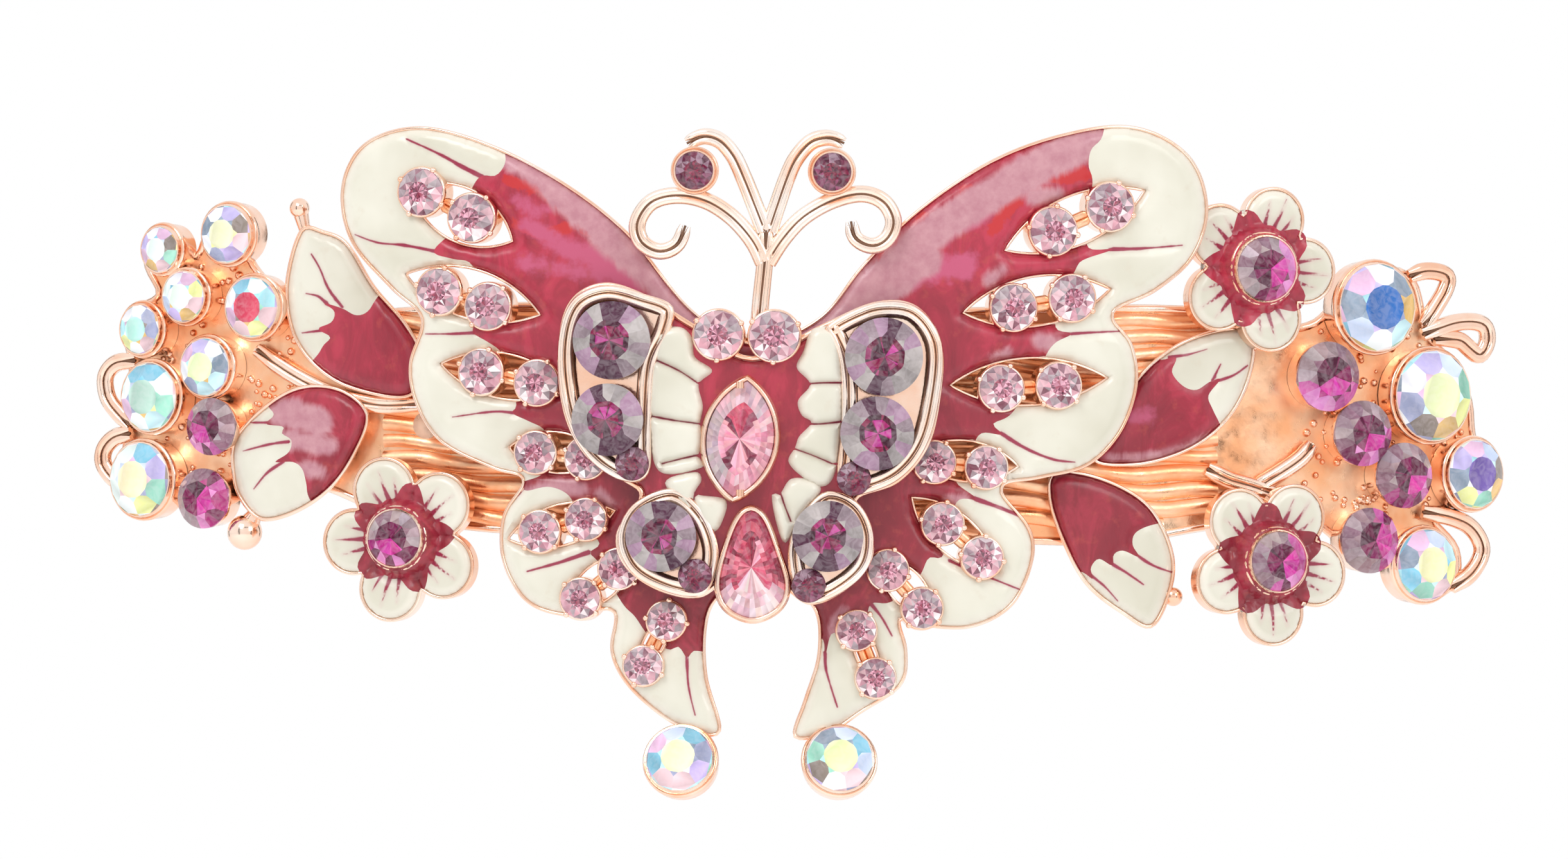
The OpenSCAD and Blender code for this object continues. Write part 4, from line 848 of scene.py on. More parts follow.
def bold(rng, table):
    """Facet tints of the round amethysts, painted light and reflection: grey-mauve on one side, magenta and plum on the
    side of the lit angle.
    """
    lit = rng.uniform(200, 340)

    def colour_of(r, angle, nz):
        near = abs((angle - lit + 180) % 360 - 180)
        if nz > 0.99 and r < table * 1.1:
            pool = [rgb(196, 56, 150), rgb(176, 40, 128)] if near < 62 else [rgb(92, 18, 56), rgb(120, 24, 76), rgb(70, 18, 44)]
        elif near < 80:
            pool = [rgb(186, 80, 150), rgb(104, 22, 66), rgb(160, 44, 112), rgb(208, 130, 186)]
        else:
            pool = [rgb(150, 128, 134), rgb(164, 144, 150), rgb(128, 92, 108), rgb(140, 112, 120)]
        return tuple(c * rng.uniform(0.93, 1.06) for c in rng.choice(pool))
    return colour_of


def calm(rng, table, dark):
    """Facet tints of the large amethysts: broad grey-mauve crown of painted reflections, deep table with rare painted
    magenta glints, and dark wedges of painted dark reflection at the given angles.
    """
    crown = [rng.choice([rgb(150, 143, 141), rgb(138, 129, 130), rgb(142, 120, 130), rgb(162, 155, 152)]) for _ in range(8)]

    def colour_of(r, angle, nz):
        k = rng.uniform(0.94, 1.05)
        if nz > 0.99 and r < table * 1.1:
            tone = rng.choice([rgb(88, 18, 48), rgb(70, 26, 48), rgb(118, 18, 60), rgb(60, 18, 38), rgb(142, 28, 90)])
            if r < table * 0.55 and rng.random() < 0.15:
                tone = rgb(172, 50, 130)
            return tuple(c * k for c in tone)
        if any(abs((angle - d + 180) % 360 - 180) < 17 for d in dark):
            return tuple(c * k for c in rgb(72, 34, 56))
        if r > 0.8:
            return tuple(c * k for c in rng.choice([rgb(156, 122, 146), rgb(148, 140, 139), rgb(136, 118, 126), rgb(166, 158, 156)]))
        return tuple(c * k for c in crown[int(round(angle / 45)) % 8])
    return colour_of


def set_stones(name, master, places, colour_fns, replaces):
    """Copies of a stone, each with its own tints, in one piece."""
    made = []
    for place, colour_of in zip(places, colour_fns):
        o = master.copy()
        o.data = master.data.copy()
        bpy.context.collection.objects.link(o)
        paint_facets(o, colour_of)
        o.matrix_world = place
        made.append(o)
    pick(*made)
    bpy.ops.object.transform_apply(location=True, rotation=True, scale=True)
    return finished(joined(name, made), finish_of("stone"), replaces)


def turned(name, profile, steps=40, closed=True):
    """A turned ring from a profile of (radius, height) in millimetres."""
    n = len(profile)
    me = bpy.data.meshes.new(name)
    me.from_pydata([(r, 0, z) for r, z in profile], [(i, (i + 1) % n) for i in range(n if closed else n - 1)], [])
    o = bpy.data.objects.new(name, me)
    bpy.context.collection.objects.link(o)
    edit(o, "VERT")
    bpy.ops.mesh.spin(steps=steps, angle=2 * math.pi, center=(0, 0, 0), axis=(0, 0, 1))
    bpy.ops.mesh.select_all(action="SELECT")
    bpy.ops.mesh.remove_doubles(threshold=1e-4)
    bpy.ops.mesh.normals_make_consistent(inside=False)
    done()
    soft_edges(o, 50)
    return o


def thin_cup(r, depth):
    """Profile of a thin rolled cup round a stone of radius r, its top at the girdle."""
    return [(r - 0.02, 0.04), (r + 0.04, 0.1), (r + 0.12, 0.08), (r + 0.18, -0.04), (r + 0.19, -0.3), (r + 0.2, -depth),
        (r - 0.2, -depth), (r - 0.2, -0.3), (r - 0.06, -0.1)]


def ridged_cup(r, depth):
    """Profile of a cast cup with a bright lip, a groove and a second rim."""
    return [(r - 0.06, 0.06), (r, 0.15), (r + 0.09, 0.14), (r + 0.14, 0.02), (r + 0.15, -0.16), (r + 0.19, -0.24),
        (r + 0.26, -0.2), (r + 0.33, -0.24), (r + 0.37, -0.38), (r + 0.36, -0.62), (r + 0.28, -1.0), (r + 0.2, -depth),
        (r - 0.3, -depth), (r - 0.3, -0.5), (r - 0.1, -0.08)]


def claws(name, places, count=4, start=45):
    """Small bright claws that hold a stone, at each (radius, place)."""
    bpy.ops.mesh.primitive_uv_sphere_add(segments=10, ring_count=7, radius=0.24)
    ball = bpy.context.object
    soft_edges(ball, 60)
    spots = []
    for r, m in places:
        for i in range(count):
            a = math.radians(start + 360 * i / count)
            spots.append(m @ Matrix.Translation(((r + 0.12) * math.cos(a), (r + 0.12) * math.sin(a), 0.02)))
    made = copies(name, ball, spots)
    drop(ball)
    return finished(made, finish_of("gold"))


def set_cups(name, profile_of, depth, places, replaces, finish="gold"):
    """One cup for each (radius, place), in one piece."""
    made = []
    for r, place in places:
        o = turned(name, profile_of(r, depth))
        o.matrix_world = place
        made.append(o)
    pick(*made)
    bpy.ops.object.transform_apply(location=True, rotation=True, scale=True)
    return finished(joined(name, made), finish_of(finish), replaces)


# ---- add-on ----
class BarretteSettings(bpy.types.PropertyGroup):
    """Sizes and colours that a maker would change."""
    enamel_height: bpy.props.FloatProperty(name="Enamel height", description="Height of the enamel in the middle of a field, in millimetres",
        default=0.5, min=0.2, max=0.9)
    border_wire: bpy.props.FloatProperty(name="Border wire", description="Radius of the bright edge round each wing, in millimetres",
        default=0.13, min=0.08, max=0.5)
    rib_gap: bpy.props.FloatProperty(name="Rib gap", description="Distance between the ribs of the base, in millimetres",
        default=1.25, min=0.5, max=3)
    stone_seed: bpy.props.IntProperty(name="Stone seed", description="Changes how the facets of the stones are tinted", default=7)
    sheet_step: bpy.props.FloatProperty(name="Sheet step", description="Size of the triangles in the enamel, in millimetres",
        default=0.42, min=0.2, max=1.5)
    cream: bpy.props.FloatVectorProperty(name="Cream", description="Colour of the light enamel", subtype="COLOR",
        default=rgb(219, 216, 202), min=0, max=1)
    crimson: bpy.props.FloatVectorProperty(name="Crimson", description="Colour of the dark enamel high on the wings", subtype="COLOR",
        default=rgb(176, 44, 68), min=0, max=1)
    plating: bpy.props.FloatVectorProperty(name="Plating", description="Colour of the polished rose gold", subtype="COLOR",
        default=rgb(255, 232, 216), min=0, max=1)
    lens: bpy.props.FloatProperty(name="Camera lens", description="Focal length of the camera, in millimetres", default=500, min=50)


def settings():
    return bpy.context.scene.barrette


class BARRETTE_OT_stage(bpy.types.Operator):
    """White studio: soft light all round, two soft boxes, dark cards for the metal to mirror, and the camera"""
    bl_idname = "barrette.stage"
    bl_label = "Stage, light and camera"

    def execute(self, context):
        scene = context.scene
        scene.view_settings.view_transform = "Standard"
        world = bpy.data.worlds.new("studio")
        scene.world = world
        world.use_nodes = True
        world.node_tree.nodes["Background"].inputs["Color"].default_value = (1, 1, 1, 1)
        world.node_tree.nodes["Background"].inputs["Strength"].default_value = 1.0
        bpy.ops.mesh.primitive_plane_add(size=6, location=(0, 0, -0.15))
        floor = context.object
        floor.name = "floor"
        m, t, s = new_material("pale floor")
        s.inputs["Base Color"].default_value = (0.95, 0.95, 0.95, 1)
        s.inputs["Roughness"].default_value = 0.8
        floor.data.materials.append(m)
        card, t, s = new_material("dark card")
        s.inputs["Base Color"].default_value = (0.02, 0.015, 0.012, 1)
        s.inputs["Roughness"].default_value = 1
        for x, y, z, w, h in ((-0.42, -0.5, 0.05, 0.1, 0.7), (0.45, -0.46, 0.0, 0.1, 0.7), (0, -0.62, -0.34, 0.9, 0.1),
                (0.05, -0.62, 0.4, 0.5, 0.07), (-0.5, 0.35, 0.1, 0.12, 0.6), (0.5, 0.35, 0.1, 0.12, 0.6)):
            bpy.ops.mesh.primitive_plane_add(size=1, location=(x, y, z))
            c = context.object
            c.name = "card"
            c.rotation_mode = "QUATERNION"
            c.rotation_quaternion = Vector((x, y, z)).to_track_quat("Z", "Y")
            c.scale = (w, h, 1)
            c.data.materials.append(card)
            c.visible_camera = c.visible_shadow = c.visible_diffuse = False
        for x, y, z, size, power in ((-0.3, -0.5, 0.45, 0.3, 1.6), (0.4, -0.45, 0.25, 0.25, 0.7)):
            lamp = bpy.data.lights.new("soft box", "AREA")
            lamp.size = size
            lamp.energy = power
            o = bpy.data.objects.new("soft box", lamp)
            o.location = (x, y, z)
            o.rotation_mode = "QUATERNION"
            o.rotation_quaternion = Vector((x, y, z)).to_track_quat("Z", "Y")
            context.collection.objects.link(o)
        cam = bpy.data.cameras.new("camera")
        cam.lens = settings().lens
        cam.sensor_width = 36
        cam.clip_end = 20
        o = bpy.data.objects.new("camera", cam)
        o.location = (-0.0017, -0.005 - 0.1152 * cam.lens / 36, -0.00231)
        o.rotation_euler = (math.pi / 2, 0, 0)
        context.collection.objects.link(o)
        scene.camera = o
        return {"FINISHED"}


class BARRETTE_OT_wing_casting(bpy.types.Operator):
    """The pierced casting of the big butterfly, with bright edges and rims"""
    bl_idname = "barrette.wing_casting"
    bl_label = "Wing casting"

    def execute(self, context):
        outline = even(ring(WINGS), 0.45, True)
        holes = [opening(p) for p in LEFT_PAIRS + RIGHT_PAIRS]
        V, F = triangles([outline] + holes, step=1.3)
        plate = slab("wing plate", V, F, WING_FACE, WING_BACK)
        w = settings().border_wire
        lines = [(along(shifted(outline, w * 0.7), WING_FACE + 0.02, True), w, True)]
        lines += [(along(opening(p, -0.02), WING_FACE + 0.02, True, 0.3), 0.1, True) for p in LEFT_PAIRS + RIGHT_PAIRS]
        trim = wires("wing trim", lines)
        finished(joined("wing_plate_and_rims", [plate, trim]), finish_of("gold"), "wing_casting")
        links = []
        for a, b, *_ in LEFT_PAIRS + RIGHT_PAIRS:
            line = np.array([a, b], float)
            for d in (-0.28, 0.28):
                links.append((along(shifted(line, d, False), WING_FACE - 0.3, gap=0.4), 0.3, False))
        finished(wires("links", links), finish_of("deep"), "stone_links")
        return {"FINISHED"}


class BARRETTE_OT_wing_enamel(bpy.types.Operator):
    """Domed enamel of the big wings: cream lobes, crimson middle, and painted strokes"""
    bl_idname = "barrette.wing_enamel"
    bl_label = "Wing enamel"

    def execute(self, context):
        for side, pairs, edge, mid in (("left", LEFT_PAIRS, LEFT_EDGE, -4.0), ("right", RIGHT_PAIRS, RIGHT_EDGE, -4.0)):
            outline = even(shifted(even(ring(WINGS), 0.42, True), 0.17), 0.42, True)
            far = -60 if side == "left" else 60
            line = even(smooth(edge, 5), 0.3)
            inner = np.vstack([line, [(0, -40), (mid, -40), (mid, 40), line[0]]])
            keep = (lambda P: P[:, 0] < mid) if side == "left" else (lambda P: P[:, 0] >= mid)
            holes = [opening(p, 0.06) for p in pairs]
            split = np.array([(mid, -30), (mid, 30)], float)
            V, F = triangles([outline] + holes, [line, even(split, 0.5)] + vein_lines(), settings().sheet_step)
            F = F[keep(V[F].mean(axis=1))]
            d = np.full(len(V), 1e9)
            for l in [outline] + holes:
                d = np.minimum(d, distance(V, l, True))
            marks = {"rim": d, "vein": strokes(V, VEINS), "mauve": strokes(V, MAUVE), "rose": strokes(V, ROSE),
                "scarlet": strokes(V, SCARLET)}
            h = domed(d, settings().enamel_height, 1.1)
            h -= 0.1 * np.exp(-(distance(V, line) / 0.22) ** 2)
            h -= 0.12 * np.exp(-(np.maximum(marks["vein"], 0) / 0.25) ** 2)
            cream = ~inside(V[F].mean(axis=1), inner)
            front = WING_FACE + np.maximum(h, -0.05)
            for tone, faces in (("cream", F[cream]), ("crimson", F[~cream])):
                o = slab(f"{side}_wing_{tone}", V, faces, front, WING_FACE - 0.15, marks)
                finished(o, finish_of(tone), f"{side}_wing_{tone}_enamel")
        return {"FINISHED"}


class BARRETTE_OT_small_stones(bpy.types.Operator):
    """The pink stones of the wings and of the head, in rolled cups"""
    bl_idname = "barrette.small_stones"
    bl_label = "Pink stones and cups"

    def execute(self, context):
        rng = random.Random(settings().stone_seed)
        stone = round_stone("pink stone", 0.42)
        girdle = WING_BACK + 2
        for side, pairs in (("left", LEFT_PAIRS), ("right", RIGHT_PAIRS)):
            spots = [(x, z, r) for p, r in zip(pairs, PINK_SIZES) for x, z in p[:2]]
            turns = [rng.uniform(0, 45) for _ in spots]
            set_cups(f"{side}_wing_cups", thin_cup, 1.7, [(r - 0.08, arch_matrix(x, z, girdle)) for x, z, r in spots],
                f"{side}_wing_bezels")
            claws(f"{side}_wing_claws", [(r - 0.06, arch_matrix(x, z, girdle, a)) for (x, z, r), a in zip(spots, turns)])
            set_stones(f"{side}_wing_stones", stone, [arch_matrix(x, z, girdle, a, 0, r) for (x, z, r), a in zip(spots, turns)],
                [sparkle("pink", rng, 0.42) for _ in spots], f"{side}_wing_pink_stones")
        girdle = SMALL_FACE + 1.1
        set_cups("head_rings", thin_cup, 1.05, [(r, arch_matrix(x, z, girdle)) for x, z, r in HEAD], "head_cups")
        claws("head_claws", [(r, arch_matrix(x, z, girdle, -18)) for x, z, r in HEAD], 3)
        set_stones("head_gems", stone, [arch_matrix(x, z, girdle, 10, 0, r * 1.04) for x, z, r in HEAD],
            [sparkle("pink", rng, 0.42) for _ in HEAD], "head_stones")
        drop(stone)
        return {"FINISHED"}


class BARRETTE_OT_small_butterfly(bpy.types.Operator):
    """The raised small butterfly: plate, doubled wire loops, scalloped cream cells and crimson middle"""
    bl_idname = "barrette.small_butterfly"
    bl_label = "Small butterfly"

    def execute(self, context):
        outline = even(ring(SMALL), 0.35, True)
        V, F = triangles([outline], step=1.0)
        plate = slab("small butterfly plate", V, F, SMALL_FACE, SMALL_BACK)
        edge = wires("small edge", [(along(shifted(outline, 0.15), SMALL_FACE, True), 0.2, True)])
        claws = []
        (cx, cz), (l, w) = MARQUISE_AT, MARQUISE
        for x, z in ((cx, cz + l - 0.1), (cx, cz - l + 0.1)):
            claws.append((along([(x, z), (x + (cx - x) * 0.3, z + (cz - z) * 0.12)], SMALL_FACE + 2.0, gap=0.3), 0.3, False))
        claws = wires("claws", claws)
        finished(joined("small_butterfly_plate", [plate, edge, claws]), finish_of("gold"), "small_butterfly_casting")
        strands, grooves = [], []
        for l in LOOPS:
            line = even(ring(l), 0.3, True)
            for d, r in ((0.14, 0.25), (0.72, 0.27)):
                strands.append((along(shifted(line, d), SMALL_FACE + 0.55, True), r + 0.02, True))
            # Dark wires of painted shade in the grooves between the strands.
            for d in (0.43, 1.03):
                grooves.append((along(shifted(line, d), SMALL_FACE + (0.6 if d < 0.5 else 0.35), True), 0.05, True))
        finished(wires("wing_loop_strands", strands), finish_of("bright"), "wing_loops")
        finished(wires("wing_loop_grooves", grooves, 2), finish_of("painted_shade"))
        band_lines = [even(smooth(l, 5), 0.18) for l in BAND_LINES]
        inner = [even(shifted(even(ring(l), 0.3, True), 1.05), 0.3, True) for l in LOOPS]
        parts = []
        for band in CREAM_BANDS:
            line = even(ring(band), 0.22, True)
            V, F = triangles([line], band_lines, 0.28)
            mid = V[F].mean(axis=1)
            F = F[~np.any([inside(mid, l) for l in inner], axis=0)]
            d = distance(V, line, True)
            cell = np.minimum(d, np.min([distance(V, l) for l in band_lines], axis=0))
            marks = {"rim": d, "vein": np.min([distance(V, l) for l in band_lines], axis=0) - 0.05}
            parts.append(slab("cell", V, F, SMALL_FACE + 0.28 + domed(cell, 0.55, 0.7), SMALL_FACE - 0.1, marks))
        finished(joined("small_cream_cells", parts), finish_of("cream"), "small_butterfly_cream_enamel")
        field = even(shifted(outline, 0.35), 0.35, True)
        rooms = [even(shifted(even(ring(l), 0.3, True), 0.5), 0.3, True) for l in LOOPS]
        V, F = triangles([field], [], 0.3)
        F = F[~np.any([inside(V[F].mean(axis=1), l) for l in rooms], axis=0)]
        marks = {"rim": distance(V, field, True), "vein": np.full(len(V), 9.0), "mauve": np.full(len(V), 9.0),
            "rose": np.full(len(V), 9.0), "scarlet": strokes(V, SCARLET)}
        o = slab("small_crimson_field", V, F, SMALL_FACE + domed(marks["rim"], 0.3, 0.6), SMALL_FACE - 0.1, marks)
        finished(o, finish_of("crimson"), "small_butterfly_crimson_enamel")
        return {"FINISHED"}


class BARRETTE_OT_amethysts(bpy.types.Operator):
    """The large and small amethysts of the small butterfly, the marquise and the long tail stone"""
    bl_idname = "barrette.amethysts"
    bl_label = "Amethysts, marquise and tail stone"

    def execute(self, context):
        rng = random.Random(settings().stone_seed + 1)
        stone = round_stone("large stone", 0.5, stars=False, shards=False, top=0.34, girdle=35)
        edit(stone)
        choose(stone, lambda c, n: n.z > 0.99)
        bpy.ops.mesh.inset(thickness=0.14)
        bpy.ops.mesh.poke()
        done()
        places = [arch_matrix(x, z, SMALL_FACE + 1.55, rng.uniform(-8, 8), 0, r * 1.04) for x, z, r in LARGE_AMETHYSTS]
        # Angles of the dark wedges of painted dark reflection in each large amethyst.
        darks = [(90, 272), (96, 268, 300), (84, 262), (100, 280), (88, 300), (80, 265, 190)]
        set_stones("large_gems", stone, places, [calm(rng, 0.5, d) for d in darks], "large_amethysts")
        small = round_stone("small stone", 0.42)
        places = [arch_matrix(x, z, SMALL_FACE + 1.0, rng.uniform(0, 45), 0, r + 0.15) for x, z, r in SMALL_AMETHYSTS]
        set_stones("small_gems", small, places, [sparkle("plum", rng, 0.42) for _ in places], "small_amethysts")
        drop(stone, small)
        (x, z), (l, w) = MARQUISE_AT, MARQUISE
        long = self.drilled("marquise blank", lens(l - 0.05, w - 0.05, angle=math.radians(83), n=40), 1.0, 0.42)

        def pick_of(angle, sectors):
            """A painted facet colour of the first sector (middle, half width, tints) that holds the angle."""
            for mid, half, tints in sectors:
                if abs((angle - mid + 180) % 360 - 180) <= half:
                    return tuple(c * rng.uniform(0.92, 1.08) for c in rng.choice(tints))

        # The marquise's and tail stone's facet colours: their own pink and red with painted reflections, dark sectors
        # of painted shade and pale sectors of painted light.
        dark, red, pink = [rgb(104, 38, 58), rgb(132, 54, 76)], [rgb(196, 76, 100), rgb(176, 60, 86)], [rgb(212, 134, 152), rgb(222, 156, 170)]
        table = [(90, 22, red), (60, 12, dark), (118, 12, dark), (270, 20, pink), (240, 14, dark), (300, 14, dark), (0, 180, pink)]
        crown = [(90, 40, [rgb(186, 156, 164), rgb(206, 160, 170)]), (180, 70, [rgb(176, 150, 158), rgb(188, 166, 170)]),
            (0, 180, [rgb(214, 150, 164), rgb(196, 120, 140), rgb(226, 180, 188)])]
        set_stones("marquise_gem", long, [arch_matrix(x, z, SMALL_FACE + 1.15)],
            [lambda r, a, nz: pick_of(a, table if nz > 0.99 else crown)], "marquise_stone")
        cx = np.mean(TAIL, axis=0)
        drop_line = even(shifted(even(ring(np.array(TAIL) - cx), 0.2, True), 0.05), 0.5, True)
        drop_blank = self.drilled("tail blank", drop_line, 1.0, 0.4)
        clear = [rgb(214, 176, 184), rgb(196, 150, 160), rgb(226, 200, 204)]
        tail_table = [(90, 16, [rgb(120, 32, 54), rgb(150, 44, 68)]), (60, 16, pink), (118, 14, red), (270, 34, clear),
            (0, 180, [rgb(186, 66, 92), rgb(206, 104, 124), rgb(140, 36, 60)])]
        tail_crown = [(90, 40, [rgb(150, 48, 72), rgb(186, 84, 104)]), (270, 50, clear), (0, 180, [rgb(168, 56, 80), rgb(206, 116, 132), rgb(128, 34, 56)])]
        set_stones("tail_gem", drop_blank, [arch_matrix(cx[0], cx[1], SMALL_FACE + 1.15)],
            [lambda r, a, nz: pick_of(a, tail_table if nz > 0.99 else tail_crown)], "tail_stone")
        drop(long, drop_blank)
        for name, line, node in (("marquise_rim", lens(l + 0.16, w + 0.16, (x, z), math.radians(83), 60), "marquise_setting"),
                ("tail_rim", even(shifted(even(ring(TAIL), 0.2, True), -0.12), 0.3, True), "tail_setting")):
            rims = [(along(line, SMALL_FACE + 1.15, True), 0.17, True), (along(line, SMALL_FACE + 0.8, True), 0.22, True),
                (along(line, SMALL_FACE + 0.3, True), 0.3, True)]
            finished(wires(name, rims), finish_of("gold"), node)
        return {"FINISHED"}

    def drilled(self, name, outline, height, table):
        """A flat-topped stone with two rows of facets, from its outline in millimetres round the origin."""
        n = len(outline)
        me = bpy.data.meshes.new(name)
        me.from_pydata([(x, z, -0.4) for x, z in outline], [], [tuple(range(n))])
        o = bpy.data.objects.new(name, me)
        bpy.context.collection.objects.link(o)
        edit(o)
        bpy.ops.mesh.normals_make_consistent(inside=False)
        bpy.ops.mesh.extrude_region_move(TRANSFORM_OT_translate={"value": (0, 0, 0.4)})
        for k, rise in ((0.82, 0.42), (0.78, 0.3)):
            bpy.ops.mesh.extrude_region_move(TRANSFORM_OT_translate={"value": (0, 0, rise * height)})
            bpy.ops.transform.resize(value=(k, k, 1), center_override=(0, 0, 0))
        bpy.ops.mesh.inset(thickness=table)
        bpy.ops.mesh.poke()
        bpy.ops.mesh.select_all(action="SELECT")
        bpy.ops.mesh.normals_make_consistent(inside=False)
        done()
        return o


class BARRETTE_OT_antennae(bpy.types.Operator):
    """Antennae of doubled wire with dark wires of painted shade in the grooves, their cups and their plum stones"""
    bl_idname = "barrette.antennae"
    bl_label = "Antennae"

    def execute(self, context):
        r = SMALL_BACK - 0.45
        strands, grooves = [], []
        for line in [STEM] + CURLS:
            L = even(smooth(line, 6), 0.25)
            for d in (-0.3, 0.3):
                pts = along(shifted(L, d, False), r, gap=0.25)
                strands.append((pts, np.interp(np.linspace(0, 1, len(pts)), [0, 0.85, 0.97, 1], [0.36, 0.32, 0.25, 0.1]), False))
            # A dark wire of painted shade in the groove between the two strands.
            grooves.append((along(L, r + 0.16, gap=0.25), 0.09, False))
        finished(wires("antenna_strands", strands), finish_of("bright"), "antennae")
        finished(wires("antenna_grooves", grooves, 2), finish_of("painted_shade"))
        rng = random.Random(settings().stone_seed + 2)
        girdle, line = SMALL_BACK + 1.1, SMALL_BACK + 0.5
        spots = [(q, arch_matrix(x, z, girdle, 0, 0, 1, line)) for x, z, q in ANTENNA_STONES]
        set_cups("antenna_rings", ridged_cup, 1.9, [(q - 0.15, m) for q, m in spots], "antenna_cups")
        stone = round_stone("plum stone", 0.45)
        set_stones("antenna_gems", stone, [arch_matrix(x, z, girdle, 12, 0, q - 0.1, line) for x, z, q in ANTENNA_STONES],
            [sparkle("plum", rng, 0.45) for _ in spots], "antenna_stones")
        drop(stone)
        return {"FINISHED"}


class BARRETTE_OT_leaves(bpy.types.Operator):
    """Four domed enamel leaves with scalloped cream tips, bright edges and tip beads"""
    bl_idname = "barrette.leaves"
    bl_label = "Leaves"

    def execute(self, context):
        cream, crimson = [], []
        for name, (outline, edge, veins, bead, foot) in LEAVES.items():
            line = even(ring(outline), 0.3, True)
            V, F = triangles([line], step=0.8)
            face = BASE_FACE + 1
            plate = slab(name + " plate", V, F, face, BASE_FACE)
            trim = wires(name + " trim", [(along(shifted(line, 0.08), face + 0.02, True), 0.15, True)])
            x, z, r = bead
            bpy.ops.mesh.primitive_uv_sphere_add(segments=24, ring_count=14, radius=r * MM, location=on_arch(x, z, face - 0.3))
            ball = bpy.context.object
            pick(ball)
            bpy.ops.object.transform_apply(location=True)
            soft_edges(ball, 60)
            run = along([(x, z), foot], face - 0.4, gap=0.15)
            neck = wires(name + " neck", [(run, np.linspace(r * 0.85, 0.36, len(run)), False)])
            finished(joined(name + "_plate", [plate, trim, ball, neck]), finish_of("gold"), name)
            field = even(shifted(line, 0.2), 0.3, True)
            split = even(smooth(edge, 5), 0.22)
            V, F = triangles([field], [split] + [even(smooth(v, 5), 0.22) for v in veins], 0.36)
            rim = distance(V, field, True)
            vein = strokes(V, [(v, 0.13, 0.04) for v in veins])
            marks = {"rim": rim, "vein": vein, "mauve": strokes(V, MAUVE), "rose": strokes(V, ROSE),
                "scarlet": np.full(len(V), 9.0)}
            h = domed(rim, 0.55, 1.0) - 0.08 * np.exp(-(distance(V, split) / 0.2) ** 2)
            # The cream tip is the side of the edge line that the bead is on
            far = np.array([x, z]) + (np.array([x, z]) - np.mean(outline, axis=0)) * 4
            tip = np.vstack([split, [far + (far - split[0])[::-1] * (0, 0), far]])
            light = inside(V[F].mean(axis=1), tip)
            for keep, out, tone in ((light, cream, "cream"), (~light, crimson, "crimson")):
                out.append(slab(tone, V, F[keep], face + np.maximum(h, -0.02), face - 0.2, marks))
        finished(joined("leaf_cream_tips", cream), finish_of("cream"), "leaf_cream_enamel")
        finished(joined("leaf_crimson_bases", crimson), finish_of("crimson"), "leaf_crimson_enamel")
        return {"FINISHED"}


